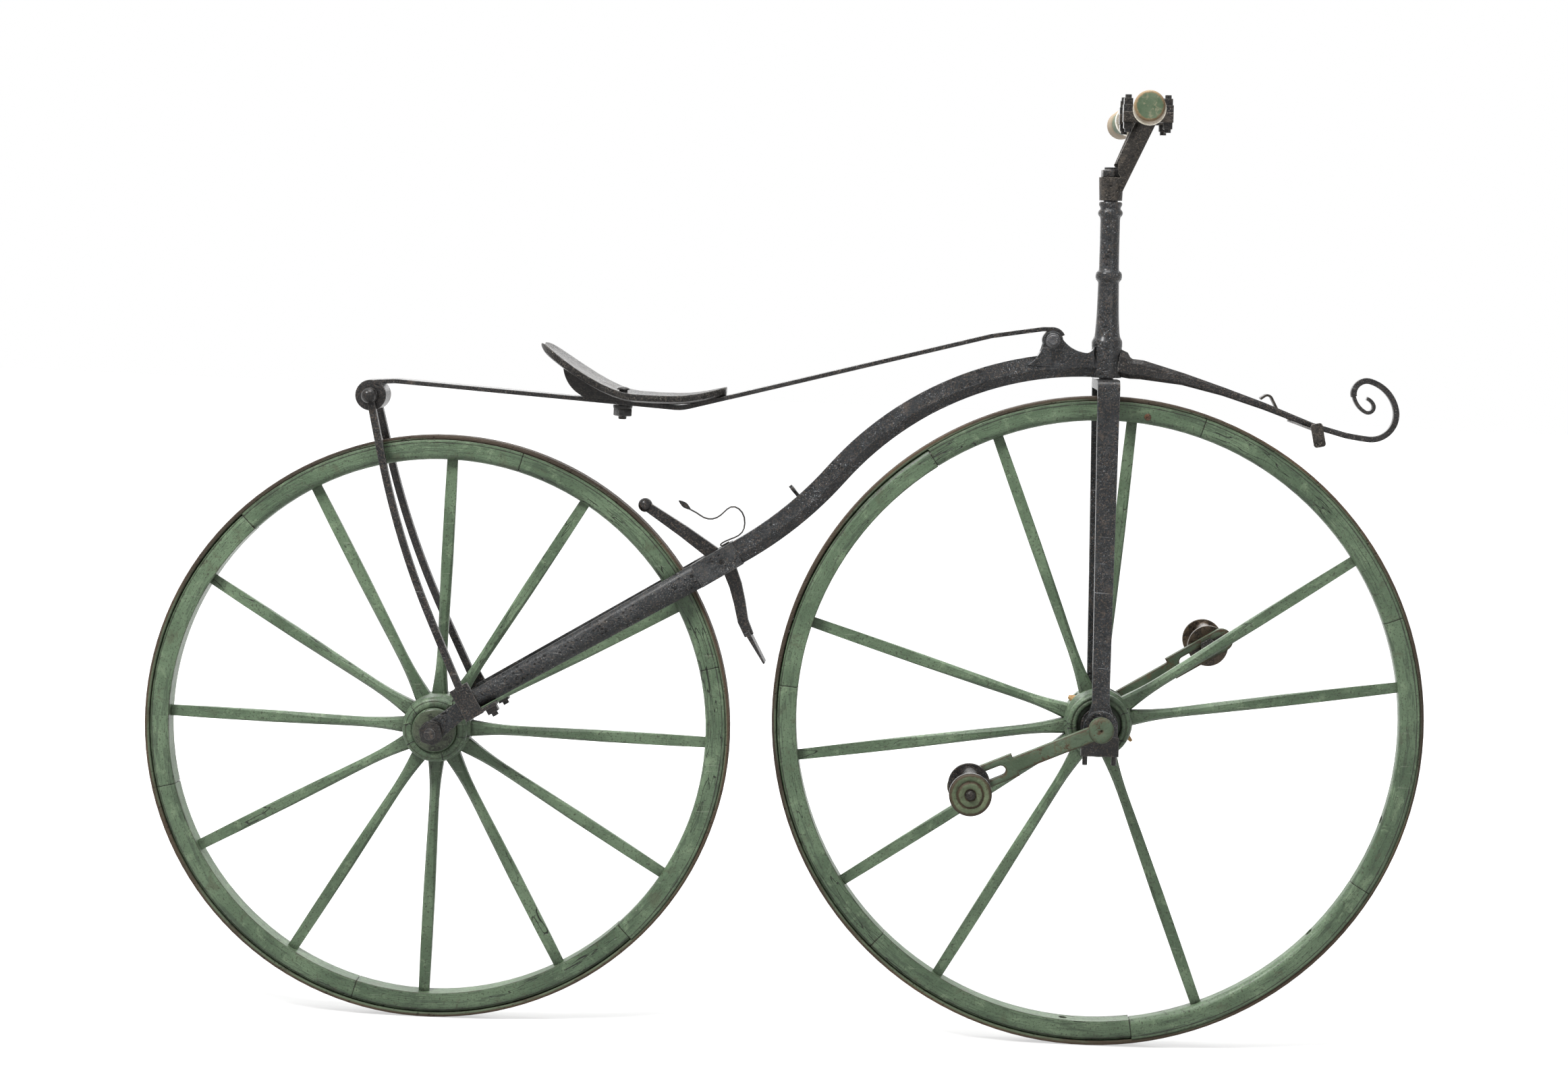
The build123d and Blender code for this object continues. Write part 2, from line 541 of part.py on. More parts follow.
# Backbone: ridged bar bent from the rear fork up and over the front wheel to the head socket
CHORD = atan2(SPINE_BEND[1] - SPINE_START[1], SPINE_BEND[0] - SPINE_START[0])
BEND_SLOPE = 2 * CHORD - LEG
with BuildPart() as backbone:
    with BuildLine(SIDE):
        ThreePointArc(SPINE_START, arc_middle(SPINE_START, SPINE_BEND, LEG), SPINE_BEND)
        ThreePointArc(SPINE_BEND, arc_middle(SPINE_BEND, HEAD, BEND_SLOPE), HEAD)
    with BuildSketch(across(LEG_PLANE, SPINE_U, LEG_OFFSET)):
        with BuildLine():
            Polyline(
                (SPINE_TOP_FLAT / 2, SPINE_DEPTH / 2),
                (SPINE_WIDTH / 2, -SPINE_RIDGE_DROP),
                (SPINE_TOP_FLAT / 2, -SPINE_DEPTH / 2),
                (-SPINE_TOP_FLAT / 2, -SPINE_DEPTH / 2),
                (-SPINE_WIDTH / 2, -SPINE_RIDGE_DROP),
                (-SPINE_TOP_FLAT / 2, SPINE_DEPTH / 2),
                close=True,
            )
        make_face()
    sweep()
    with BuildSketch(SIDE):
        with Locations(LUG):
            Circle(LUG_RADIUS)
        with BuildLine():
            base = LUG[1] - LUG_Z - SPINE_RIDGE_DROP
            shoulder = LUG[1] - LUG_Z + SPINE_DEPTH / 2 + 1.0
            valley = HEAD[0] - SOCKET_RADIUS - VALLEY_RUN
            neck = HEAD[0] - SOCKET_RADIUS + 2.0
            fall = LUG_RADIUS * 0.94
            hump = (LUG[0] + fall, LUG[1] + LUG_RADIUS * 0.34)
            Line((LUG[0] - LUG_RADIUS, LUG[1]), (LUG[0], LUG[1]))
            Line((LUG[0], LUG[1]), hump)
            ThreePointArc(hump, along(hump, (valley, shoulder), 0.5, -HUMP_BOW), (valley, shoulder))
            ThreePointArc((valley, shoulder), (neck - 3.5, shoulder + 2.6), (neck, shoulder + VALLEY_RISE))
            Polyline((neck, shoulder + VALLEY_RISE), (neck, base), (LUG[0] - LUG_FOOT, base))
            ThreePointArc(
                (LUG[0] - LUG_FOOT, base), (LUG[0] - LUG_RADIUS * 1.34, LUG[1] - LUG_Z * 0.55),
                (LUG[0] - LUG_RADIUS, LUG[1]))
        make_face()
    extrude(amount=SPRING_EYE_WIDTH / 2 + LUG_CHEEK, both=True)
    with BuildSketch(SIDE):
        with Locations((LUG[0] - LUG_FOOT / 2, LUG[1] - LUG_Z + SPINE_DEPTH / 2 + LUG_Z)):
            Rectangle(LUG_FOOT + FRONT_EYE_RADIUS * 2 + 10, LUG_Z * 2)
    extrude(amount=SPRING_EYE_WIDTH / 2, both=True, mode=Mode.SUBTRACT)
    with BuildSketch(SIDE):
        with Locations(LUG):
            Circle(SPRING_BOLT_RADIUS)
    extrude(amount=SPRING_WIDTH, both=True, mode=Mode.SUBTRACT)
    with BuildSketch(Plane(STEER.origin + STEER.y_dir * SOCKET_FOOT, x_dir=STEER.x_dir, z_dir=STEER.y_dir)):
        Circle(SOCKET_RADIUS)
    extrude(amount=SOCKET_HEIGHT)
    with BuildSketch(Plane(STEER.origin + STEER.y_dir * SOCKET_FOOT, x_dir=STEER.x_dir, z_dir=STEER.y_dir)):
        Circle(SPINDLE_RADIUS + RUNNING_FIT)
    extrude(amount=SOCKET_HEIGHT, mode=Mode.SUBTRACT)
backbone.part.label = "backbone"
export_step(backbone.part, "parts/backbone.step")

# Leg rest bar: tapering tail of the backbone ahead of the head, ending in a scroll
TailStation = namedtuple("TailStation", "ahead drop depth width")
TAIL = (
    TailStation(15.0, 4.0, 41.0, 30.0),
    TailStation(21.5, 2.8, 37.0, 30.0),
    TailStation(26.0, -0.6, 31.0, 29.0),
    TailStation(34.0, -2.6, 28.0, 28.0),
    TailStation(49.5, -3.4, 27.0, 26.0),
    TailStation(107.5, -14.0, 17.0, 18.0),
    TailStation(164.5, -29.0, 12.0, 13.0),
    TailStation(222.5, -47.0, 10.0, 11.0),
    TailStation(290.5, -71.0, TAIL_DEPTH, TAIL_WIDTH),
    TailStation(338.5, -83.0, TAIL_DEPTH, TAIL_WIDTH),
)
SCROLL = ((370.0, -87.0), (407.0, -44.0), (369.5, -6.0), (347.5, -28.0))
SCROLL_INNER = ((364.0, -49.0), (375.0, -38.0), (365.5, -30.0))
tail_points = [(HEAD[0] + station.ahead, HEAD[1] + station.drop) for station in TAIL]
with BuildPart() as leg_rest_bar:
    for index, station in enumerate(TAIL):
        before = tail_points[max(index - 1, 0)]
        after = tail_points[min(index + 1, len(TAIL) - 1)]
        slope = degrees(atan2(after[1] - before[1], after[0] - before[0]))
        with BuildSketch(across(side_plane(tail_points[index], slope), 0, 0)) as bar_section:
            Rectangle(station.width, station.depth)
            chamfer(bar_section.vertices(), station.depth * 0.22)
    loft(ruled=True)
    with BuildSketch(Plane(STEER.origin + STEER.y_dir * SOCKET_FOOT, x_dir=STEER.x_dir, z_dir=STEER.y_dir)):
        Circle(SOCKET_RADIUS)
    extrude(amount=SOCKET_HEIGHT, mode=Mode.SUBTRACT)
    for ring, start_point, width in (
        (SCROLL, (TAIL[-1].ahead, TAIL[-1].drop), TAIL_DEPTH),
        (SCROLL_INNER, SCROLL[-1], SCROLL_TIP),
    ):
        heading = atan2(-8.0, 48.0) if width == TAIL_DEPTH else scroll_heading
        spot = start_point
        with BuildSketch(SIDE):
            with BuildLine():
                for target in ring:
                    TangentArc(
                        (HEAD[0] + spot[0], HEAD[1] + spot[1]),
                        (HEAD[0] + target[0], HEAD[1] + target[1]),
                        tangent=(cos(heading), sin(heading)),
                    )
                    heading = 2 * atan2(target[1] - spot[1], target[0] - spot[0]) - heading
                    spot = target
            trace(line_width=width)
        scroll_heading = heading
        extrude(amount=TAIL_WIDTH / 2, both=True)
leg_rest_bar.part.label = "leg_rest_bar"
export_step(leg_rest_bar.part, "parts/leg_rest_bar.step")

# Leg rest: flat strap riveted across the bar, near end turned down, far end curled over
REST = (HEAD[0] + TAIL[-2].ahead, HEAD[1] + TAIL[-2].drop - TAIL_DEPTH / 2)
with BuildPart() as leg_rest:
    for reach, shift in ((REST_NEAR, 0.0), (-REST_FAR, -REST_SKEW)):
        with BuildSketch(side_plane(REST, REST_SLOPE, reach)):
            with Locations((shift, -REST_THICKNESS / 2)):
                Rectangle(REST_WIDTH, REST_THICKNESS)
    loft(ruled=True)
    with BuildSketch(side_plane(REST, TONGUE_LEAN, REST_NEAR - REST_THICKNESS)):
        with Locations((0, -TONGUE_LENGTH * 0.21)):
            RectangleRounded(REST_WIDTH, TONGUE_LENGTH, 4)
    extrude(amount=REST_THICKNESS)
    with BuildSketch(side_plane(REST, 0.0, -REST_FAR)):
        with BuildLine():
            FilletPolyline(
                (-REST_SKEW, 3), (-REST_SKEW - 24, 20), (-REST_SKEW - 37, 44), (-REST_SKEW - 49, 35), radius=7)
        trace(line_width=REST_THICKNESS)
    extrude(amount=REST_WIDTH)
leg_rest.part.label = "leg_rest"
export_step(leg_rest.part, "parts/leg_rest.step")

# Head column: turned sleeve between the socket and the stem
ColumnStep = namedtuple("ColumnStep", "height radius")
COLUMN = (
    ColumnStep(0.0, 21.4), ColumnStep(8.0, 21.4), ColumnStep(13.0, 18.0), ColumnStep(41.0, 15.7),
    ColumnStep(92.0, 14.6), ColumnStep(96.0, 18.3), ColumnStep(102.0, 18.3), ColumnStep(106.0, 13.9),
    ColumnStep(181.0, 13.8), ColumnStep(184.0, 17.4), ColumnStep(189.0, 17.4), ColumnStep(192.0, 14.2),
    ColumnStep(194.5, 14.2), ColumnStep(197.0, 16.2), ColumnStep(202.0, 16.2),
)
with BuildPart() as head_column:
    with BuildSketch(STEER):
        with BuildLine():
            stretch = COLUMN_HEIGHT / COLUMN[-1].height
            outline = [(step.radius, SOCKET_TOP + step.height * stretch) for step in COLUMN]
            bore = SPINDLE_RADIUS + RUNNING_FIT
            Polyline((bore, SOCKET_TOP), *outline, (bore, COLUMN_TOP), close=True)
        make_face()
    revolve(axis=STEER_AXIS)
head_column.part.label = "head_column"
export_step(head_column.part, "parts/head_column.step")

# Rear fork: slotted crotch, two splayed half-round legs and flat axle plates, one forging
with BuildPart() as rear_fork:
    with BuildSketch(Plane(LEG_PLANE.from_local_coords(Vector(0, LEG_OFFSET - CROTCH_DEPTH / 2, 0)),
                           x_dir=LEG_PLANE.x_dir, z_dir=LEG_PLANE.y_dir)):
        with BuildLine():
            Polyline(
                (CROTCH_U, -CROTCH_HALF), (CROTCH_U, -LEG_CROTCH_INNER), (CROTCH_U + 20, -LEVER_HALF - 0.5),
                (SPINE_U - 7, -LEVER_HALF - 0.5), (SPINE_U - 7, LEVER_HALF + 0.5),
                (CROTCH_U + 20, LEVER_HALF + 0.5), (CROTCH_U, LEG_CROTCH_INNER), (CROTCH_U, CROTCH_HALF),
                (CROTCH_U + 26, CROTCH_HALF - 8), (SPINE_U, SPINE_WIDTH / 2), (SPINE_U, -SPINE_WIDTH / 2),
                (CROTCH_U + 26, -CROTCH_HALF + 8),
                close=True,
            )
        make_face()
    extrude(amount=CROTCH_DEPTH)
    for side, _ in SIDES:
        LegEnd = namedtuple("LegEnd", "u inner depth")
        for end in (LegEnd(CROTCH_U, LEG_CROTCH_INNER, CROTCH_DEPTH),
                    LegEnd(LEG_FOOT_U, LEG_FOOT_INNER, LEG_FOOT_DEPTH)):
            with BuildSketch(across(LEG_PLANE, end.u, LEG_OFFSET)):
                with BuildLine():
                    inner = -side * end.inner
                    edge = -side * (end.inner + LEG_THICKNESS * 0.45)
                    outer = -side * (end.inner + LEG_THICKNESS)
                    Line((inner, -end.depth / 2), (inner, end.depth / 2))
                    Line((inner, end.depth / 2), (edge, end.depth / 2))
                    ThreePointArc((edge, end.depth / 2), (outer, 0), (edge, -end.depth / 2))
                    Line((edge, -end.depth / 2), (inner, -end.depth / 2))
                make_face()
        loft(ruled=True)
        plate_out = LEG_FOOT_INNER + LEG_THICKNESS
        with BuildSketch(LEG_PLANE.offset(side * (plate_out - DROPOUT_THICKNESS))):
            Circle(DROPOUT_RADIUS)
            with BuildLine():
                Polyline(
                    (0, -DROPOUT_RADIUS), (LEG_FOOT_U + 8, LEG_OFFSET - LEG_FOOT_DEPTH * 0.42),
                    (LEG_FOOT_U + 8, LEG_OFFSET + LEG_FOOT_DEPTH * 0.42), (0, DROPOUT_RADIUS),
                    close=True,
                )
            make_face()
            Circle(REAR_AXLE_RADIUS, mode=Mode.SUBTRACT)
        extrude(amount=side * DROPOUT_THICKNESS)
    with BuildSketch(side_plane(on_leg(CROTCH_U + 40, LEG_OFFSET))):
        Circle(4.0)
    extrude(amount=CROTCH_HALF, both=True, mode=Mode.SUBTRACT)
rear_fork.part.label = "rear_fork"
export_step(rear_fork.part, "parts/rear_fork.step")

# Brake: cranked lever in the crotch slot, cord ball at the top and flat shoe at the foot
PIVOT = on_leg(CROTCH_U + 40, LEG_OFFSET)
LeverStation = namedtuple("LeverStation", "ahead rise width")
LEVER = (
    LeverStation(-112.0, 73.0, 13.0), LeverStation(-56.0, 38.0, 17.0), LeverStation(-12.0, 8.0, 20.0),
    LeverStation(10.0, -12.0, 20.0), LeverStation(19.0, -34.0, 18.0), LeverStation(25.5, -57.0, 16.5),
    LeverStation(31.5, -84.0, 15.0), LeverStation(41.0, -104.0, 13.0),
)
SHOE_FOOT = (64.0, -141.0)
lever_points = [(PIVOT[0] + station.ahead, PIVOT[1] + station.rise) for station in LEVER]
with BuildPart() as brake_lever:
    with BuildSketch(SIDE):
        with BuildLine():
            Polyline(*ribbon(lever_points, [station.width for station in LEVER]), close=True)
        make_face()
        with Locations(PIVOT):
            Circle(4.0, mode=Mode.SUBTRACT)
    extrude(amount=LEVER_HALF, both=True)
    with Locations(SIDE.from_local_coords(Vector(lever_points[0][0], lever_points[0][1], 0))):
        Sphere(LEVER_BALL_RADIUS)
    with BuildSketch(SIDE):
        with BuildLine():
            shoe = [along(lever_points[-2], lever_points[-1], 0.7),
                    (PIVOT[0] + SHOE_FOOT[0], PIVOT[1] + SHOE_FOOT[1])]
            Polyline(*ribbon(shoe, [SHOE_THICKNESS, SHOE_TIP]), close=True)
        make_face()
    extrude(amount=SHOE_WIDTH / 2, both=True)
brake_lever.part.label = "brake_lever"
export_step(brake_lever.part, "parts/brake_lever.step")

with BuildPart() as brake_pivot:
    with BuildSketch(side_plane(PIVOT)):
        Circle(4.0)
    extrude(amount=CROTCH_HALF - 14.5, both=True)
brake_pivot.part.label = "brake_pivot"
export_step(brake_pivot.part, "parts/brake_pivot.step")

# Brake return spring: bent wire from the crotch, flattened to a leaf where the cord hooked on
RETURN = ((20.0, 0.0), (4.0, 28.5), (24.0, 48.0), (28.0, 68.0), (6.0, 78.0), (-34.0, 60.0), (-52.0, 68.0))
foot_rise = LEG_OFFSET + CROTCH_DEPTH / 2 + RETURN_WIRE / 2
wire = [on_leg(CROTCH_U + 40 + RETURN[0][0], foot_rise), on_leg(CROTCH_U + 46, foot_rise)]
wire += [(PIVOT[0] + x, PIVOT[1] + z) for x, z in RETURN[2:]]
with BuildPart() as brake_return_spring:
    with BuildSketch(SIDE):
        with BuildLine():
            FilletPolyline(*wire[1:], radius=5.0)
        trace(line_width=RETURN_WIRE)
        with BuildLine():
            Line(wire[0], wire[1])
        trace(line_width=RETURN_WIRE)
    extrude(amount=4.0, both=True)
    with BuildSketch(SIDE):
        with BuildLine():
            leaf = [wire[-1], along(wire[-1], (PIVOT[0] - 67.0, PIVOT[1] + 82.0), 0.5),
                    (PIVOT[0] - 67.0, PIVOT[1] + 82.0)]
            Polyline(*ribbon(leaf, [RETURN_WIRE, 8.0, 1.6]), close=True)
        make_face()
    extrude(amount=1.0, both=True)
brake_return_spring.part.label = "brake_return_spring"
export_step(brake_return_spring.part, "parts/brake_return_spring.step")

# Guide eye on the backbone for the brake cord
eye_mid = along(SPINE_START, SPINE_BEND, EYE_SHARE)
eye_sag = hypot(SPINE_BEND[0] - SPINE_START[0], SPINE_BEND[1] - SPINE_START[1]) * sin(CHORD - LEG)
eye_sag *= EYE_SHARE * (1 - EYE_SHARE)
eye_base = (eye_mid[0] + sin(CHORD) * eye_sag, eye_mid[1] - cos(CHORD) * eye_sag)
eye_plane = side_plane(eye_base, degrees(CHORD))
with BuildPart() as cord_eye:
    with BuildSketch(across(eye_plane, -2.4, SPINE_DEPTH / 2 + EYE_HEIGHT)):
        Circle(EYE_RING_RADIUS)
        with Locations((0, -EYE_HEIGHT / 2)):
            Rectangle(7, EYE_HEIGHT)
        Circle(EYE_BORE_RADIUS, mode=Mode.SUBTRACT)
    extrude(amount=4.8)
cord_eye.part.label = "cord_eye"
export_step(cord_eye.part, "parts/cord_eye.step")

# Saddle spring: one long leaf, eyes at both ends, drilled for the saddle bolt
SEAT_BOLT = Plane((SEAT_BOLT_X, 0, 0))
with BuildPart() as saddle_spring:
    with BuildSketch(SIDE):
        with BuildLine():
            FilletPolyline(
                (SPRING_REAR[0] + 4, SPRING_REAR[1] + SPRING_EYE_RADIUS - SPRING_THICKNESS / 2),
                SPRING_BACK, SPRING_DIP, SPRING_CREST, SPRING_FRONT, radius=60.0)
        trace(line_width=SPRING_THICKNESS)
        for eye, radius in ((SPRING_REAR, SPRING_EYE_RADIUS), (LUG, FRONT_EYE_RADIUS)):
            with Locations(eye):
                Circle(radius)
        with BuildLine():
            Line(SPRING_FRONT, (LUG[0], LUG[1] + FRONT_HOOK_RADIUS))
            CenterArc(LUG, FRONT_HOOK_RADIUS, 90, -64)
        trace(line_width=SPRING_THICKNESS)
        for eye in (SPRING_REAR, LUG):
            with Locations(eye):
                Circle(SPRING_BOLT_RADIUS, mode=Mode.SUBTRACT)
    extrude(amount=SPRING_WIDTH / 2, both=True)
    with BuildSketch(Plane.XY.offset(-ORIGIN_Z)):
        with BuildLine():
            x_rear = SPRING_REAR[0] - ORIGIN_X - 30
            x_front = LUG[0] - ORIGIN_X
            x_taper = x_front - (LUG[0] - SPRING_REAR[0]) * SPRING_TAPER
            half = SPRING_WIDTH / 2
            slim = SPRING_EYE_WIDTH / 2
            Polyline(
                (x_rear, -half), (x_taper, -half), (x_front - LUG_RADIUS * 2.6, -slim), (x_front + 40, -slim),
                (x_front + 40, slim), (x_front - LUG_RADIUS * 2.6, slim), (x_taper, half), (x_rear, half),
                close=True,
            )
        make_face()
    extrude(amount=FRONT_RADIUS * 4, mode=Mode.INTERSECT)
    with BuildSketch(SEAT_BOLT):
        Circle(SADDLE_BOLT_RADIUS)
    extrude(amount=FRONT_RADIUS / 2, both=True, mode=Mode.SUBTRACT)
saddle_spring.part.label = "saddle_spring"
export_step(saddle_spring.part, "parts/saddle_spring.step")

with BuildPart() as spring_front_bolt:
    with BuildSketch(side_plane(LUG)):
        Circle(SPRING_BOLT_RADIUS)
    extrude(amount=SPRING_EYE_WIDTH / 2 + LUG_CHEEK + 6, both=True)
    for side, _ in SIDES:
        with BuildSketch(side_plane(LUG, 0, side * (SPRING_EYE_WIDTH / 2 + LUG_CHEEK))):
            Circle(SPRING_BOLT_RADIUS * 2.1)
        extrude(amount=side * 5.0)
spring_front_bolt.part.label = "spring_front_bolt"
export_step(spring_front_bolt.part, "parts/spring_front_bolt.step")

STAY_TOP_Y = SPRING_WIDTH / 2 + STAY_THICKNESS / 2 + 0.5
with BuildPart() as spring_rear_bolt:
    with BuildSketch(side_plane(SPRING_REAR)):
        Circle(SPRING_BOLT_RADIUS)
    extrude(amount=STAY_TOP_Y + STAY_THICKNESS / 2 + 4, both=True)
    for side, _ in SIDES:
        with Locations(side_plane(SPRING_REAR, 0, side * (STAY_TOP_Y + STAY_THICKNESS / 2 + 5.5)).origin):
            Sphere(BALL_RADIUS)
    with BuildSketch(side_plane(SPRING_REAR)):
        Circle(BALL_RADIUS * 2)
        Circle(SPRING_BOLT_RADIUS, mode=Mode.SUBTRACT)
    extrude(amount=STAY_TOP_Y + STAY_THICKNESS / 2 + 0.6, both=True, mode=Mode.SUBTRACT)
spring_rear_bolt.part.label = "spring_rear_bolt"
export_step(spring_rear_bolt.part, "parts/spring_rear_bolt.step")

# Stays: bars from the spring's rear eye down to plates on the rear fork legs
STAY_FOOT_U = LEG_FOOT_U - 2.0
STAY_FOOT = on_leg(STAY_FOOT_U, LEG_OFFSET + LEG_FOOT_DEPTH / 2 + 8)
stay_outer = LEG_FOOT_INNER + LEG_THICKNESS
stay_drop = SPRING_REAR[1] - STAY_FOOT[1]
stay_run = STAY_FOOT[0] - SPRING_REAR[0]
STAY_FLANGE_V = LEG_OFFSET - LEG_FOOT_DEPTH / 2 - 4.5
STAY_FOOT_Y = stay_outer + STAY_PLATE_THICKNESS / 2
for side, name in SIDES:
    lean = atan2(STAY_FOOT_Y - STAY_TOP_Y, stay_drop)
    stay_plane = Plane(
        origin=side_plane(SPRING_REAR, 0, side * STAY_TOP_Y).origin,
        x_dir=(1, 0, 0),
        z_dir=(0, -cos(lean), side * sin(lean)),
    )
    with BuildPart() as stay:
        with BuildSketch(stay_plane):
            with BuildLine():
                FilletPolyline(
                    (0, 0), (stay_run * 0.34, -stay_drop * 0.5), (stay_run, -stay_drop / cos(lean)), radius=STAY_BOW)
            trace(line_width=STAY_THICKNESS)
        extrude(amount=STAY_THICKNESS / 2 - 0.5, both=True)
        with BuildSketch(side_plane(SPRING_REAR, 0, side * (STAY_TOP_Y - STAY_THICKNESS / 2))):
            Circle(STAY_EYE_RADIUS)
        extrude(amount=side * STAY_THICKNESS)
        with BuildSketch(side_plane(SPRING_REAR, 0, 0)):
            Circle(SPRING_BOLT_RADIUS)
        extrude(amount=SPRING_WIDTH * 3, both=True, mode=Mode.SUBTRACT)
        with BuildSketch(LEG_PLANE.offset(side * stay_outer)):
            with Locations((STAY_FOOT_U, LEG_OFFSET + 3)):
                Rectangle(STAY_PLATE_LENGTH, LEG_FOOT_DEPTH + 22)
        extrude(amount=side * STAY_PLATE_THICKNESS)
        with BuildSketch(LEG_PLANE.offset(side * (LEG_FOOT_INNER + 2))):
            with Locations((STAY_FOOT_U + 19, STAY_FLANGE_V)):
                Rectangle(STAY_FLANGE_LENGTH, 5)
        extrude(amount=side * (LEG_THICKNESS + STAY_PLATE_THICKNESS - 2))
    stay.part.label = "stay_" + name
    export_step(stay.part, "parts/stay_" + name + ".step")

# Bolts that draw the stay plates against the legs, nuts below
with BuildPart() as stay_bolts:
    for side, _ in SIDES:
        foot = LEG_PLANE.from_local_coords(
            Vector(STAY_FOOT_U + 25, STAY_FLANGE_V - 2.5, side * (LEG_FOOT_INNER + 9)))
        bolt_plane = Plane(foot, x_dir=LEG_PLANE.x_dir, z_dir=-LEG_PLANE.y_dir)
        with BuildSketch(bolt_plane):
            Rectangle(16, 13)
        extrude(amount=8)
        with BuildSketch(bolt_plane):
            Circle(4.5)
        extrude(amount=13)
stay_bolts.part.label = "stay_bolts"
export_step(stay_bolts.part, "parts/stay_bolts.step")

# Saddle: dished plank, high at the back, bolted to the spring over a wedge
SaddleStation = namedtuple("SaddleStation", "ahead rise")
SADDLE = (
    SaddleStation(-160.0, 66.0), SaddleStation(-128.0, 44.0), SaddleStation(-92.0, 22.0),
    SaddleStation(-58.0, 6.5), SaddleStation(-30.0, 0.5), SaddleStation(0.0, 0.0),
    SaddleStation(36.0, 0.8), SaddleStation(64.0, 5.0), SaddleStation(95.0, 13.8),
)
seat_base = (ORIGIN_X, SEAT_TOP - SADDLE_THICKNESS / 2)
with BuildPart() as saddle:
    with BuildSketch(SIDE):
        with BuildLine():
            points = [(seat_base[0] + s.ahead, seat_base[1] + s.rise) for s in SADDLE]
            Polyline(*ribbon(points, [SADDLE_THICKNESS] * len(SADDLE)), close=True)
        make_face()
    extrude(amount=SADDLE_REAR_WIDTH / 2, both=True)
    with BuildSketch(Plane.XY.offset(-SADDLE_REAR_WIDTH)):
        with BuildLine():
            wide = SADDLE_REAR_WIDTH / 2
            nose = SADDLE_NOSE_WIDTH / 2
            back, front = SADDLE[0].ahead - 12, SADDLE[-1].ahead + 12
            Polyline((back + 70, wide), (front - 60, nose + 14))
            ThreePointArc((front - 60, nose + 14), (front - 14, nose * 0.72), (front, 0))
            ThreePointArc((front, 0), (front - 14, -nose * 0.72), (front - 60, -nose - 14))
            Polyline((front - 60, -nose - 14), (back + 70, -wide))
            ThreePointArc((back + 70, -wide), (back + 16, -wide * 0.66), (back, 0))
            ThreePointArc((back, 0), (back + 16, wide * 0.66), (back + 70, wide))
        make_face()
    extrude(amount=SADDLE_REAR_WIDTH * 2, mode=Mode.INTERSECT)
    with BuildSketch(SEAT_BOLT):
        Circle(SADDLE_BOLT_RADIUS)
    extrude(amount=SADDLE_REAR_WIDTH, both=True, mode=Mode.SUBTRACT)
saddle.part.label = "saddle"
export_step(saddle.part, "parts/saddle.step")

with BuildPart() as saddle_wedge:
    with BuildSketch(SIDE):
        with BuildLine():
            lower = [(seat_base[0] + s.ahead, seat_base[1] + s.rise) for s in SADDLE[1:5]]
            under = ribbon(lower, [SADDLE_THICKNESS] * len(lower))[len(lower):]
            spring_slope = (SPRING_DIP[1] - SPRING_BACK[1]) / (SPRING_DIP[0] - SPRING_BACK[0])
            bed = [(x, SPRING_BACK[1] + (x - SPRING_BACK[0]) * spring_slope + SPRING_THICKNESS / 2 / cos(atan2(spring_slope, 1)))
                   for x in (lower[0][0] + WEDGE_RUN, lower[-1][0])]
            Polyline(bed[0], bed[1], *under)
            ThreePointArc(under[-1], along(under[-1], bed[0], 0.5, -WEDGE_BOW), bed[0])
        make_face()
    extrude(amount=SPRING_WIDTH / 2 + 8, both=True)
    with BuildSketch(SEAT_BOLT):
        Circle(SADDLE_BOLT_RADIUS)
    extrude(amount=SADDLE_REAR_WIDTH, both=True, mode=Mode.SUBTRACT)
saddle_wedge.part.label = "saddle_wedge"
export_step(saddle_wedge.part, "parts/saddle_wedge.step")

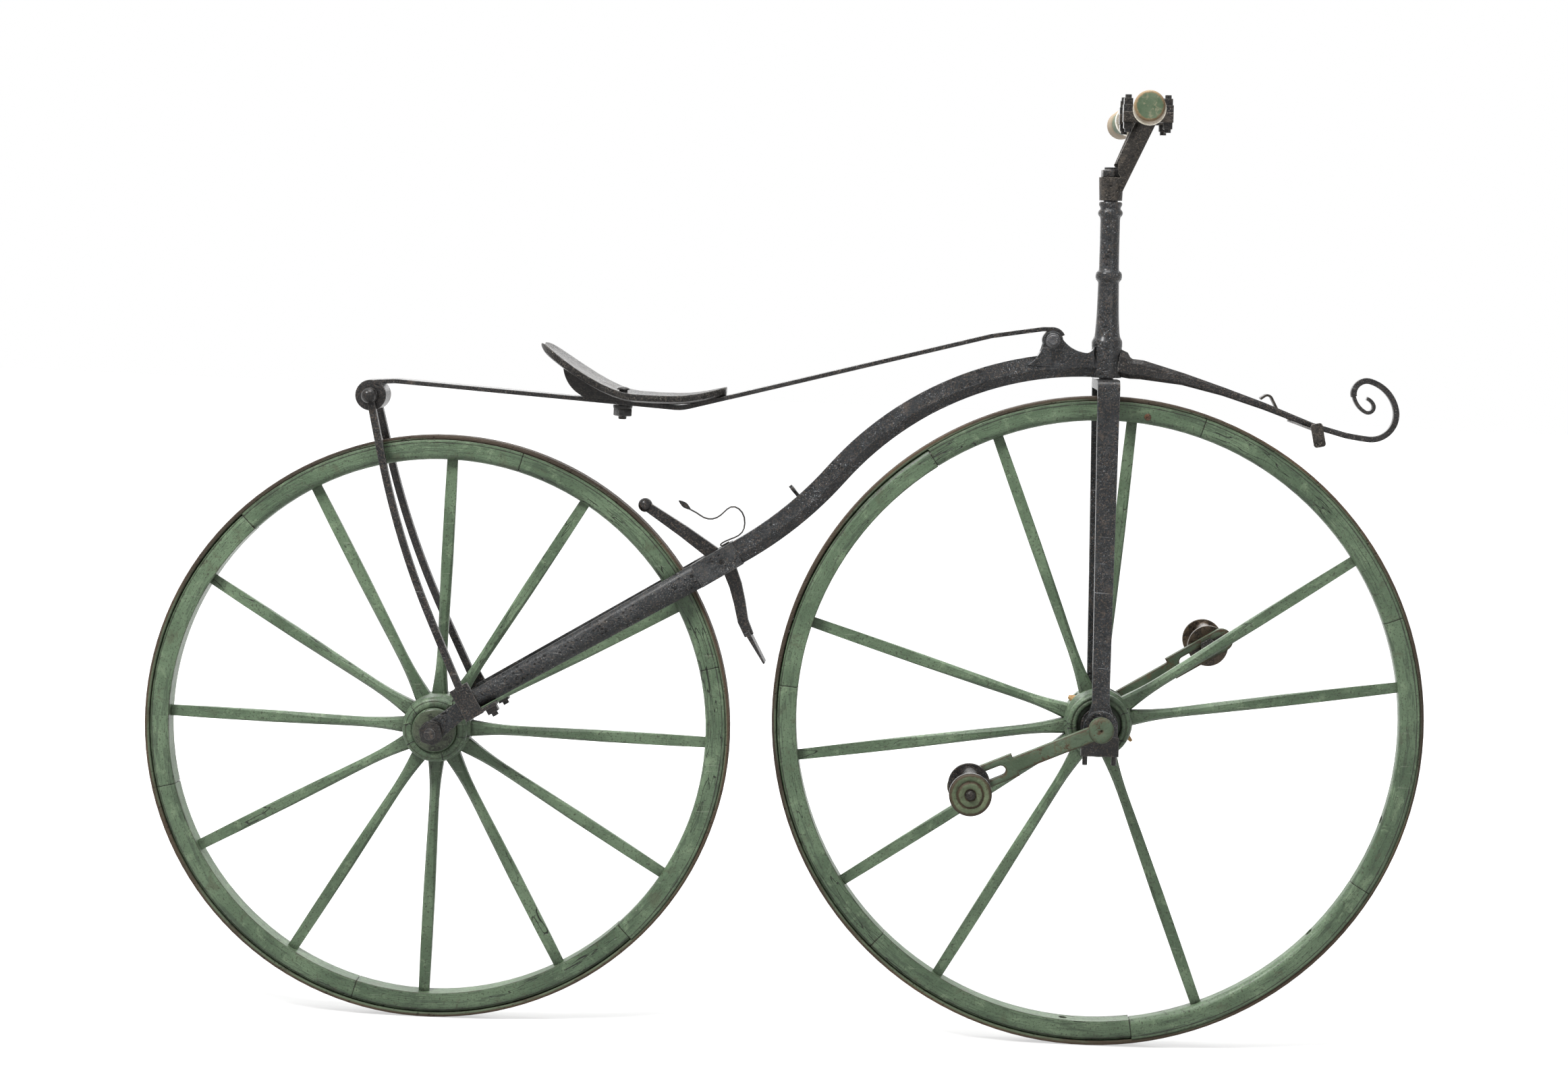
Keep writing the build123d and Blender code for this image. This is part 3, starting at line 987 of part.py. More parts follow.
# Stem: boss on the spindle and two ridged arms up to the handlebar bearings
STEM_UP = Plane(STEER.origin + STEER.y_dir * BOSS_FOOT, x_dir=STEER.x_dir, z_dir=STEER.y_dir)
BAR = Plane(STEER.from_local_coords(Vector(BAR_FORWARD, BAR_HEIGHT, 0)), x_dir=STEER.x_dir, z_dir=STEER.z_dir)
ARM_FOOT = (4.0, BOSS_FOOT + STEM_BOSS_HEIGHT * 0.55)
ARM_HEAD = (BAR_FORWARD - 2.0, BAR_HEIGHT - BEARING_DEPTH + 1.0)
ARM_SLOPE = degrees(atan2(ARM_HEAD[1] - ARM_FOOT[1], ARM_HEAD[0] - ARM_FOOT[0]))
with BuildPart() as stem:
    with BuildSketch(STEM_UP):
        Circle(STEM_BOSS_RADIUS - 1)
    extrude(amount=STEM_BOSS_HEIGHT, taper=-2)
    for side, _ in SIDES:
        ArmEnd = namedtuple("ArmEnd", "place reach width thickness")
        for end in (ArmEnd(ARM_FOOT, 7.0, 25.0, 11.0), ArmEnd(ARM_HEAD, BEARING_Y, 26.0, 14.0)):
            spot = STEER.from_local_coords(Vector(end.place[0], end.place[1], side * end.reach))
            turn = radians(ARM_SLOPE)
            up_arm = STEER.x_dir * cos(turn) + STEER.y_dir * sin(turn)
            with BuildSketch(Plane(spot, x_dir=STEER.z_dir * side, z_dir=up_arm)):
                with BuildLine():
                    Polyline(
                        (-end.thickness / 2, -end.width / 2), (-end.thickness / 2, end.width / 2),
                        (end.thickness / 2 - 2, end.width / 2), (end.thickness / 2, -end.width * 0.16),
                        (end.thickness / 2 - 5, -end.width / 2),
                        close=True,
                    )
                make_face()
        loft(ruled=True)
        with BuildSketch(BAR.offset(side * (BEARING_Y - BEARING_WIDTH / 2))):
            with Locations((0, -BEARING_DEPTH / 2)):
                Rectangle(BEARING_HALF * 2, BEARING_DEPTH)
        extrude(amount=side * BEARING_WIDTH)
    with BuildSketch(BAR):
        Circle(BAR_RADIUS)
    extrude(amount=BAR_STRAIGHT, both=True, mode=Mode.SUBTRACT)
    with BuildSketch(BAR):
        with Locations((0, BAR_RADIUS)):
            Rectangle(BEARING_HALF * 3, BAR_RADIUS * 2)
    extrude(amount=BAR_STRAIGHT, both=True, mode=Mode.SUBTRACT)
    with BuildSketch(STEM_UP):
        Circle(SPINDLE_RADIUS)
    extrude(amount=STEM_BOSS_HEIGHT, mode=Mode.SUBTRACT)
    with BuildSketch(STEM_UP.offset(STEM_BOSS_HEIGHT)):
        Circle(STEM_NUT_ACROSS * 0.75)
    extrude(amount=STEM_NUT_HEIGHT + 8, mode=Mode.SUBTRACT)
stem.part.label = "stem"
export_step(stem.part, "parts/stem.step")

with BuildPart() as stem_nut:
    with BuildSketch(STEM_UP.offset(STEM_BOSS_HEIGHT)):
        Rectangle(STEM_NUT_ACROSS, STEM_NUT_ACROSS)
        Circle(SPINDLE_RADIUS, mode=Mode.SUBTRACT)
    extrude(amount=STEM_NUT_HEIGHT)
stem_nut.part.label = "stem_nut"
export_step(stem_nut.part, "parts/stem_nut.step")

# Bearing caps over the handlebar, each with two square-nutted bolts
with BuildPart() as bar_caps:
    for side, _ in SIDES:
        with BuildSketch(BAR.offset(side * (BEARING_Y - BEARING_WIDTH / 2))):
            with Locations((0, BEARING_DEPTH * 0.35)):
                Rectangle(BEARING_HALF * 2, BEARING_DEPTH * 0.7)
            Circle(BAR_RADIUS + 7)
            with Locations((0, -BEARING_DEPTH * 2)):
                Rectangle(BEARING_HALF * 3, BEARING_DEPTH * 4, mode=Mode.SUBTRACT)
            Circle(BAR_RADIUS, mode=Mode.SUBTRACT)
        extrude(amount=side * BEARING_WIDTH)
bar_caps.part.label = "bar_caps"
export_step(bar_caps.part, "parts/bar_caps.step")

with BuildPart() as bar_cap_nuts:
    for side, _ in SIDES:
        for spread in (-BEARING_BOLT_SPREAD, BEARING_BOLT_SPREAD):
            for level, turn in ((BEARING_DEPTH * 0.7, 1), (-BEARING_DEPTH, -1)):
                spot = BAR.from_local_coords(Vector(spread, level, side * BEARING_Y))
                nut_plane = Plane(spot, x_dir=BAR.x_dir, z_dir=BAR.y_dir * turn)
                with BuildSketch(nut_plane):
                    Rectangle(BEARING_NUT, BEARING_NUT)
                extrude(amount=9)
                with BuildSketch(nut_plane):
                    Circle(BEARING_BOLT_RADIUS)
                extrude(amount=14)
bar_cap_nuts.part.label = "bar_cap_nuts"
export_step(bar_cap_nuts.part, "parts/bar_cap_nuts.step")

# Handlebar: straight between the bearings, then swept back and drooped to the grips
SWEEP = radians(BAR_SWEEP)
DROOP = radians(BAR_DROOP)


def grip_plane(side, reach):
    """Plane square to a handlebar end, reach along it from the bend."""
    aim = BAR.z_dir * side * cos(SWEEP) * cos(DROOP) - BAR.x_dir * sin(SWEEP) - BAR.y_dir * sin(DROOP)
    return Plane(BAR.origin + BAR.z_dir * side * BAR_STRAIGHT + aim * reach, x_dir=BAR.x_dir, z_dir=aim)


GRIP_START = BAR_REACH - BAR_STRAIGHT - GRIP_LENGTH
with BuildPart() as handlebar:
    with BuildSketch(BAR):
        Circle(BAR_RADIUS)
    extrude(amount=BAR_STRAIGHT, both=True)
    for side, _ in SIDES:
        with Locations(grip_plane(side, 0).origin):
            Sphere(BAR_RADIUS)
        with BuildSketch(grip_plane(side, 0)):
            Circle(BAR_RADIUS)
        extrude(amount=GRIP_START + GRIP_LENGTH - 8)
handlebar.part.label = "handlebar"
export_step(handlebar.part, "parts/handlebar.step")

for side, name in SIDES:
    with BuildPart() as grip:
        for reach, radius in ((FERRULE_LENGTH, GRIP_RADIUS - 2.5), (GRIP_LENGTH * 0.55, GRIP_RADIUS + 1.0),
                              (GRIP_LENGTH - 3, GRIP_RADIUS)):
            with BuildSketch(grip_plane(side, GRIP_START + reach)):
                Circle(radius)
        loft(ruled=True)
        with BuildSketch(grip_plane(side, GRIP_START + GRIP_LENGTH - 3)):
            Circle(GRIP_RADIUS)
        extrude(amount=3, taper=35)
        with BuildSketch(grip_plane(side, 0)):
            Circle(BAR_RADIUS)
        extrude(amount=GRIP_START + GRIP_LENGTH - 8, mode=Mode.SUBTRACT)
    grip.part.label = "grip_" + name
    export_step(grip.part, "parts/grip_" + name + ".step")

with BuildPart() as grip_ferrules:
    for side, _ in SIDES:
        with BuildSketch(grip_plane(side, GRIP_START)):
            Circle(FERRULE_RADIUS)
            Circle(BAR_RADIUS, mode=Mode.SUBTRACT)
        extrude(amount=FERRULE_LENGTH)
grip_ferrules.part.label = "grip_ferrules"
export_step(grip_ferrules.part, "parts/grip_ferrules.step")

# Saddle bolt through the saddle, wedge and spring, washer and square nut below
bolt_x = SEAT_BOLT_X + ORIGIN_X
bolt_foot = SPRING_BACK[1] + (bolt_x - SPRING_BACK[0]) * spring_slope - SPRING_THICKNESS / 2 - 1.0 - ORIGIN_Z
bolt_head = SADDLE[3].rise + 1.5
BoltStep = namedtuple("BoltStep", "low high radius square")
with BuildPart() as saddle_bolt:
    for step in (
        BoltStep(bolt_foot - 20, bolt_head, SADDLE_BOLT_RADIUS, False),
        BoltStep(bolt_head, bolt_head + 5, SADDLE_BOLT_RADIUS * 1.5, False),
        BoltStep(bolt_foot - 5, bolt_foot, SADDLE_BOLT_RADIUS * 2.3, False),
        BoltStep(bolt_foot - 15, bolt_foot - 5, SADDLE_BOLT_RADIUS * 1.65, True),
    ):
        with BuildSketch(Plane((SEAT_BOLT_X, 0, step.low))):
            if step.square:
                Rectangle(step.radius * 2, step.radius * 2)
            else:
                Circle(step.radius)
        extrude(amount=step.high - step.low)
saddle_bolt.part.label = "saddle_bolt"
export_step(saddle_bolt.part, "parts/saddle_bolt.step")

# Slotted cranks on the front axle ends, pedal pins bolted through the slots
Crank = namedtuple("Crank", "side name angle reach")
CRANKS = (
    Crank(RIGHT, "right", RIGHT_CRANK_ANGLE, RIGHT_PIN_REACH),
    Crank(LEFT, "left", LEFT_CRANK_ANGLE, LEFT_PIN_REACH),
)
for crank in CRANKS:
    arm = side_plane(FRONT_AXLE, crank.angle)
    slot_end = CRANK_SLOT_START + CRANK_SLOT_LENGTH
    with BuildPart() as crank_arm:
        with BuildSketch(arm.offset(crank.side * CRANK_Y)):
            Circle(CRANK_BOSS_RADIUS)
            with Locations((CRANK_END_START / 2, 0)):
                Rectangle(CRANK_END_START, CRANK_ARM_WIDTH)
            with Locations(((CRANK_END_START + slot_end - CRANK_SLOT_WIDTH / 2) / 2, 0)):
                Rectangle(slot_end - CRANK_SLOT_WIDTH / 2 - CRANK_END_START, CRANK_END_WIDTH)
            with Locations((slot_end - CRANK_SLOT_WIDTH / 2, 0)):
                Circle(CRANK_END_WIDTH / 2)
            with Locations((CRANK_SLOT_START + CRANK_SLOT_LENGTH / 2, 0)):
                SlotOverall(CRANK_SLOT_LENGTH, CRANK_SLOT_WIDTH, mode=Mode.SUBTRACT)
            Circle(FRONT_AXLE_RADIUS, mode=Mode.SUBTRACT)
        extrude(amount=crank.side * CRANK_THICKNESS)
    crank_arm.part.label = "crank_" + crank.name
    export_step(crank_arm.part, "parts/crank_" + crank.name + ".step")

    turn = radians(crank.angle)
    PIN = (FRONT_AXLE[0] + crank.reach * cos(turn), FRONT_AXLE[1] + crank.reach * sin(turn))
    pedal_start = CRANK_OUTER + PEDAL_GAP
    with BuildPart() as pedal_pin:
        with BuildSketch(side_plane(PIN, 0, crank.side * CRANK_Y)):
            Circle(PEDAL_PIN_RADIUS)
        extrude(amount=crank.side * (CRANK_THICKNESS + PEDAL_GAP + PEDAL_LENGTH + 5))
        with BuildSketch(side_plane(PIN, 0, crank.side * CRANK_OUTER)):
            Circle(PEDAL_PIN_RADIUS * 2)
        extrude(amount=crank.side * (PEDAL_GAP - 0.5))
        with BuildSketch(side_plane(PIN, crank.angle, crank.side * CRANK_Y)):
            RegularPolygon(12, 6, major_radius=False)
        extrude(amount=-crank.side * PEDAL_NUT_HEIGHT)
    pedal_pin.part.label = "pedal_pin_" + crank.name
    export_step(pedal_pin.part, "parts/pedal_pin_" + crank.name + ".step")

    with BuildPart() as pedal:
        with BuildSketch(side_plane(PIN, 0, crank.side * pedal_start)):
            Circle(PEDAL_DISC_RADIUS)
        extrude(amount=crank.side * PEDAL_DISC_THICKNESS)
        with BuildSketch(side_plane(PIN, 0, crank.side * (pedal_start + PEDAL_LENGTH - PEDAL_DISC_THICKNESS))):
            Circle(PEDAL_DISC_RADIUS)
        extrude(amount=crank.side * PEDAL_DISC_THICKNESS)
        with BuildSketch(side_plane(PIN, 0, crank.side * pedal_start)):
            Circle(PEDAL_LOBE_REACH)
            with PolarLocations(PEDAL_LOBE_REACH, 3, start_angle=90):
                Circle(PEDAL_LOBE_RADIUS)
        extrude(amount=crank.side * PEDAL_LENGTH)
        with BuildSketch(side_plane(PIN, 0, crank.side * (pedal_start + PEDAL_LENGTH))):
            Circle(PEDAL_WASHER_RADIUS)
        extrude(amount=crank.side * 2)
        with BuildSketch(side_plane(PIN, 0, crank.side * pedal_start)):
            Circle(PEDAL_PIN_RADIUS + RUNNING_FIT)
        extrude(amount=crank.side * (PEDAL_LENGTH + 2), mode=Mode.SUBTRACT)
    pedal.part.label = "pedal_" + crank.name
    export_step(pedal.part, "parts/pedal_" + crank.name + ".step")
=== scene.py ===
"""Dresses the boneshaker: worn green wooden wheels, pitted forged iron and the studio it stands in."""

from __future__ import annotations

import logging
import math
from dataclasses import dataclass, field
from enum import Enum
from typing import Callable, Optional, Sequence

import bmesh
import bpy
from mathutils import Matrix, Vector

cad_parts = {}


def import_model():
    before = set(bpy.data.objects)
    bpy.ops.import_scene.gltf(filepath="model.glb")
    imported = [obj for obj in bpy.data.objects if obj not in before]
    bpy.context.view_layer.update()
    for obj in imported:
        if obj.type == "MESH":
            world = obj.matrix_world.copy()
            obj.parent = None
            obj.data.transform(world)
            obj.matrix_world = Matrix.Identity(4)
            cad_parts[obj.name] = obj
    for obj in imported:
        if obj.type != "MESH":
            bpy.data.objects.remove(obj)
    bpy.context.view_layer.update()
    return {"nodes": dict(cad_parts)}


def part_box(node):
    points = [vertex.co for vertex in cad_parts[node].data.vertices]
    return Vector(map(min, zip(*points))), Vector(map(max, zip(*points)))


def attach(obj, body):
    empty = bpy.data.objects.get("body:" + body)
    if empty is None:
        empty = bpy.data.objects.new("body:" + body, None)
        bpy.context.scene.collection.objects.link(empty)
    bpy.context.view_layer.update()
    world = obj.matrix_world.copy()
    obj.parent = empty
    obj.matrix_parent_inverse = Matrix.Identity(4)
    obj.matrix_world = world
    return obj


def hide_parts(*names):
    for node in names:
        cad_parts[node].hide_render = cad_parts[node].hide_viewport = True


Colour = tuple[int, int, int]
Profile = Sequence[tuple[float, float]]
Piece = bpy.types.Object
Material = bpy.types.Material
Node = bpy.types.Node
Socket = bpy.types.NodeSocket

LOG = logging.getLogger("boneshaker")

MM = 1000.0  # millimetres in a metre
GROUND_Z = -0.8890
REAR_AXLE = Vector((-0.28960, 0.0, -0.4790))
FRONT_AXLE = Vector((0.63540, 0.0, -0.4320))
RIGHT_PIN = Vector((0.45649, 0.0, -0.51203))
LEFT_PIN = Vector((0.79653, 0.0, -0.33132))
GRIP_CENTRE = Vector((0.6485, 0.0, 0.4163))
FRONT_RADIUS = 0.457
REAR_RADIUS = 0.410
LOST_SPOKES = (2, 5, 10, 12, 13)
STEER_UP = Vector((-0.02007, 0.0, 0.99980))
ORIGIN = (0.0, 0.0, 0.0)
SPECULAR_LEVEL = 0.25


class Body(str, Enum):
    """The bodies that pieces ride on."""

    FRAME = "frame"
    STEERING = "steering"
    FRONT_WHEEL = "front_wheel"
    REAR_WHEEL = "rear_wheel"
    RIGHT_PEDAL = "right_pedal"
    LEFT_PEDAL = "left_pedal"


class GrainRun(Enum):
    """Which of a wheel's coordinates the wood's grain follows."""

    ROUND_THE_RIM = "Round"
    ALONG_THE_SPOKE = "Outward"
    ALONG_THE_AXLE = "Axial"


def srgb(red: int, green: int, blue: int) -> tuple[float, float, float, float]:
    """Turn a screen colour into the linear colour that a shader takes.

    Args:
        red: Red, 0 to 255.
        green: Green, 0 to 255.
        blue: Blue, 0 to 255.

    Returns:
        Linear red, green, blue and an alpha of 1.
    """
    def one(value: int) -> float:
        """Linearise one channel."""
        share = value / 255.0
        return share / 12.92 if share <= 0.04045 else ((share + 0.055) / 1.055) ** 2.4

    return one(red), one(green), one(blue), 1.0


def lighter(colour: Colour, by: int) -> Colour:
    """Lighten a colour, or darken it by a negative step, but never to full black."""
    return tuple(max(value + by, 5) for value in colour)


def seat(foot: Sequence[float], axis: Sequence[float] = (0.0, 0.0, 1.0), turn: float = 0.0) -> Matrix:
    """Find where a piece that is modelled on Z goes.

    Args:
        foot: Where its origin goes.
        axis: Where its Z goes.
        turn: Its turn about its own axis, in degrees.

    Returns:
        Its place in the frame.
    """
    lean = Vector((0.0, 0.0, 1.0)).rotation_difference(Vector(axis)).to_matrix().to_4x4()
    return Matrix.Translation(Vector(foot)) @ lean @ Matrix.Rotation(math.radians(turn), 4, "Z")


def face_seats(centre: Vector, reach: float, turn: float = 0.0) -> list[Matrix]:
    """Find the seats on the right and left faces of a piece on the middle plane.

    Args:
        centre: The piece's middle.
        reach: Distance of each face from it, in millimetres.
        turn: The turn about the axle, in degrees.

    Returns:
        The right seat and the left one.
    """
    return [seat(centre + Vector((0.0, side * reach / MM, 0.0)), (0.0, side, 0.0), turn) for side in (-1.0, 1.0)]


def round_seats(centre: Vector, start: float, count: int, reach: float = 0.0,
                missing: Sequence[int] = ()) -> list[Matrix]:
    """Find the seats of pieces that stand evenly round a wheel.

    Args:
        centre: The wheel's middle.
        start: Angle of the first seat, in degrees.
        count: Number of seats.
        reach: Distance from the axle, in millimetres.
        missing: Seats that stay empty.

    Returns:
        The seats, with Z outward.
    """
    seats = []
    for index in range(count):
        if index in missing:
            continue
        turn = math.radians(start + 360.0 / count * index)
        out = Vector((math.cos(turn), 0.0, math.sin(turn)))
        side = Vector((0.0, 1.0, 0.0)).cross(out)
        basis = Matrix((side, (0.0, 1.0, 0.0), out)).transposed().to_4x4()
        seats.append(Matrix.Translation(centre + out * reach / MM) @ basis)
    return seats


class Graph:
    """A node tree with short calls for the nodes that the finishes use."""

    def __init__(self, tree: bpy.types.NodeTree) -> None:
        """Wrap the tree of a material, a world or a node group."""
        self.tree = tree

    def add(self, kind: str, **settings: object) -> Node:
        """Add a node and set its options.

        Args:
            kind: The node's type name.
            settings: Attributes to set on the node.

        Returns:
            The new node.
        """
        node = self.tree.nodes.new(kind)
        for key, value in settings.items():
            setattr(node, key, value)
        return node

    def feed(self, socket: Socket, value: object) -> None:
        """Link a socket to an output, or set its plain value.

        Args:
            socket: The input socket.
            value: An output socket, a number or a colour.
        """
        if isinstance(value, Socket):
            self.tree.links.new(value, socket)
        else:
            socket.default_value = value

    def math(self, operation: str, a: object, b: object = 0.0) -> Socket:
        """Add a Math node.

        Args:
            operation: The operation's name.
            a: First value or socket.
            b: Second value or socket.

        Returns:
            The result socket.
        """
        node = self.add("ShaderNodeMath", operation=operation)
        self.feed(node.inputs[0], a)
        self.feed(node.inputs[1], b)
        return node.outputs[0]

    def times(self, a: object, b: object) -> Socket:
        """Multiply two values."""
        return self.math("MULTIPLY", a, b)

    def plus(self, a: object, b: object) -> Socket:
        """Add two values."""
        return self.math("ADD", a, b)

    def minus(self, a: object, b: object) -> Socket:
        """Take the second value from the first."""
        return self.math("SUBTRACT", a, b)

    def step(self, value: object, low: float, high: float) -> Socket:
        """Ramp a value smoothly from 0 at low to 1 at high.

        Args:
            value: The socket to ramp.
            low: Where the ramp starts.
            high: Where the ramp ends.

        Returns:
            The ramped value.
        """
        node = self.add("ShaderNodeMapRange", interpolation_type="SMOOTHSTEP")
        self.feed(node.inputs["Value"], value)
        node.inputs["From Min"].default_value = low
        node.inputs["From Max"].default_value = high
        return node.outputs["Result"]

    def mix(self, share: object, a: object, b: object) -> Socket:
        """Mix two colours.

        Args:
            share: How much of b shows.
            a: First colour.
            b: Second colour.

        Returns:
            The mixed colour.
        """
        node = self.add("ShaderNodeMix", data_type="RGBA")
        for index, value in ((0, share), (6, a), (7, b)):
            self.feed(node.inputs[index], value)
        return node.outputs[2]

    def noise(self, vector: object, scale: float, detail: float = 4.0, rough: float = 0.55,
              distortion: float = 0.0) -> Socket:
        """Add a noise texture.

        Args:
            vector: Where to read it.
            scale: Its scale, per metre.
            detail: Number of octaves.
            rough: Share that each octave keeps.
            distortion: How much it is warped.

        Returns:
            The noise value.
        """
        node = self.add("ShaderNodeTexNoise")
        values = {"Vector": vector, "Scale": scale, "Detail": detail, "Roughness": rough, "Distortion": distortion}
        for name, value in values.items():
            self.feed(node.inputs[name], value)
        return node.outputs["Fac"]

    def group(self, name: str, **values: object) -> bpy.types.bpy_prop_collection:
        """Place a node group and feed its inputs.

        Args:
            name: The group's name.
            values: Input names, with underscores for spaces.

        Returns:
            The group's outputs.
        """
        node = self.add("ShaderNodeGroup", node_tree=bpy.data.node_groups[name])
        for key, value in values.items():
            self.feed(node.inputs[key.replace("_", " ")], value)
        return node.outputs

    def place(self) -> Socket:
        """Read a point in the object's own coordinates."""
        return self.add("ShaderNodeTexCoord").outputs["Object"]

    def seen(self) -> Socket:
        """Tell rays that look at the surround, straight, mirrored or through glass, from those that light.

        Returns:
            1 for a ray that looks and 0 for one that lights.
        """
        path = self.add("ShaderNodeLightPath").outputs
        straight = self.math("MAXIMUM", path["Is Camera Ray"], path["Is Transmission Ray"])
        return self.math("MAXIMUM", straight, path["Is Glossy Ray"])


class EffectShop:
    """Builds the node groups that several finishes share."""

    @staticmethod
    def start(name: str, inputs: Sequence[tuple[str, str, object]],
              outputs: Sequence[tuple[str, str]]) -> tuple[Graph, bpy.types.bpy_prop_collection,
                                                           bpy.types.bpy_prop_collection]:
        """Open a node group with named sockets.

        Args:
            name: The group's name.
            inputs: Name, kind and default of each input.
            outputs: Name and kind of each output.

        Returns:
            The graph, the values that it is given and the sockets that it fills.
        """
        tree = bpy.data.node_groups.new(name, "ShaderNodeTree")
        for label, kind, value in inputs:
            socket = tree.interface.new_socket(label, in_out="INPUT", socket_type="NodeSocket" + kind)
            socket.default_value = value
        for label, kind in outputs:
            tree.interface.new_socket(label, in_out="OUTPUT", socket_type="NodeSocket" + kind)
        graph = Graph(tree)
        return graph, graph.add("NodeGroupInput").outputs, graph.add("NodeGroupOutput").inputs

    def wheel_place(self) -> None:
        """Make the group that reads a point as arc, radius and breadth of a wheel."""
        graph, given, out = self.start(
            "Wheel place", [("Centre", "Vector", ORIGIN), ("Mean radius", "Float", 0.4)],
            [("Round", "Vector"), ("Outward", "Vector"), ("Axial", "Vector"), ("Radius", "Float"), ("Angle", "Float")])
        away = graph.add("ShaderNodeVectorMath", operation="SUBTRACT")
        graph.feed(away.inputs[0], graph.place())
        graph.feed(away.inputs[1], given["Centre"])
        parts = graph.add("ShaderNodeSeparateXYZ")
        graph.feed(parts.inputs[0], away.outputs[0])
        x, y, z = parts.outputs
        angle = graph.math("ARCTAN2", z, x)
        radius = graph.math("SQRT", graph.plus(graph.times(x, x), graph.times(z, z)))
        arc = graph.times(angle, given["Mean radius"])
        for label, stretch in (("Round", (0.1, 1.0, 1.0)), ("Outward", (1.0, 0.1, 1.0)), ("Axial", (1.0, 1.0, 0.1))):
            join = graph.add("ShaderNodeCombineXYZ")
            for socket, value, scale in zip(join.inputs, (arc, radius, y), stretch):
                graph.feed(socket, graph.times(value, scale))
            graph.feed(out[label], join.outputs[0])
        graph.feed(out["Radius"], radius)
        graph.feed(out["Angle"], angle)

    def edge_wear(self) -> None:
        """Make the group that finds worn edges, and the corners that get painted shade."""
        graph, given, out = self.start(
            "Edge wear and corner shade", [("Reach", "Float", 0.004), ("Break up", "Float", 0.5), ("Bias", "Float", 0.0)],
            [("Edge", "Float"), ("Corner shade", "Float"), ("Normal", "Vector")])
        place = graph.place()
        bevel = graph.add("ShaderNodeBevel", samples=6)
        graph.feed(bevel.inputs["Radius"], given["Reach"])
        graph.feed(out["Normal"], bevel.outputs[0])
        dot = graph.add("ShaderNodeVectorMath", operation="DOT_PRODUCT")
        graph.feed(dot.inputs[0], bevel.outputs[0])
        graph.feed(dot.inputs[1], graph.add("ShaderNodeNewGeometry").outputs["Normal"])
        bend = graph.minus(1.0, dot.outputs["Value"])
        patch = graph.noise(place, 60.0, 5.0, 0.62)
        fine = graph.noise(place, 420.0, 3.0, 0.6)
        rough = graph.plus(graph.times(patch, 0.7), graph.times(fine, 0.3))
        rough = graph.times(graph.minus(rough, 0.5), given["Break up"])
        tilt = graph.math("SQRT", graph.math("MAXIMUM", bend, 0.0))
        worn = graph.plus(graph.plus(graph.times(tilt, 1.25), rough), given["Bias"])
        graph.feed(out["Edge"], graph.step(worn, 0.28, 0.46))
        # Corner shade: painted shade, laid in patches over the corners that ambient occlusion finds.
        shade = graph.add("ShaderNodeAmbientOcclusion", samples=6, only_local=False)
        shade.inputs["Distance"].default_value = 0.03
        hidden = graph.minus(1.0, shade.outputs["AO"])
        graph.feed(out["Corner shade"], graph.times(hidden, graph.step(patch, 0.25, 0.7)))

    def blotches(self) -> None:
        """Make the group of uneven patches, specks and scratches that age every surface."""
        graph, given, out = self.start(
            "Blotches", [("Vector", "Vector", ORIGIN), ("Size", "Float", 1.0)],
            [("Wide", "Float"), ("Patch", "Float"), ("Speck", "Float"), ("Scratch", "Float")])
        scaled = graph.add("ShaderNodeVectorMath", operation="SCALE")
        graph.feed(scaled.inputs[0], given["Vector"])
        graph.feed(scaled.inputs["Scale"], given["Size"])
        vector = scaled.outputs[0]
        graph.feed(out["Wide"], graph.noise(vector, 9.0, 4.0, 0.6))
        graph.feed(out["Patch"], graph.noise(vector, 46.0, 6.0, 0.68, 0.6))
        graph.feed(out["Speck"], graph.noise(vector, 330.0, 4.0, 0.7))
        where = graph.noise(vector, 30.0, 2.0)
        stretch = graph.add("ShaderNodeMapping")
        stretch.inputs["Rotation"].default_value = (0.4, 0.9, 0.5)
        stretch.inputs["Scale"].default_value = (14.0, 300.0, 300.0)
        graph.feed(stretch.inputs["Vector"], vector)
        line = graph.noise(stretch.outputs[0], 1.0, 2.0, 0.5)
        graph.feed(out["Scratch"], graph.times(graph.step(line, 0.66, 0.72), graph.step(where, 0.48, 0.6)))

    def forged(self) -> None:
        """Make the group of hammered and rust-pitted iron skin."""
        graph, given, out = self.start(
            "Forged skin", [("Vector", "Vector", ORIGIN), ("Pitting", "Float", 0.5)],
            [("Height", "Float"), ("Pit", "Float"), ("Glint", "Float")])
        vector = given["Vector"]
        hammer = graph.noise(vector, 38.0, 2.0, 0.5)
        crust = graph.noise(vector, 260.0, 5.0, 0.72)
        spark = graph.noise(vector, 560.0, 3.0, 0.65)
        bright = graph.step(graph.noise(vector, 33.0, 3.0, 0.6), 0.38, 0.62)
        # Glint: scattered specks that the iron finishes paint as highlights.
        graph.feed(out["Glint"], graph.times(graph.step(spark, 0.60, 0.68), bright))
        cell = graph.add("ShaderNodeTexVoronoi", feature="SMOOTH_F1")
        graph.feed(cell.inputs["Vector"], vector)
        cell.inputs["Scale"].default_value = 165.0
        where = graph.step(graph.noise(vector, 27.0, 4.0, 0.6), 0.40, 0.62)
        dimple = graph.minus(1.0, graph.step(cell.outputs["Distance"], 0.06, 0.34))
        pit = graph.times(graph.times(dimple, where), given["Pitting"])
        height = graph.plus(graph.times(hammer, 0.8), graph.times(crust, 0.75))
        graph.feed(out["Height"], graph.minus(height, graph.times(pit, 0.9)))
        graph.feed(out["Pit"], pit)

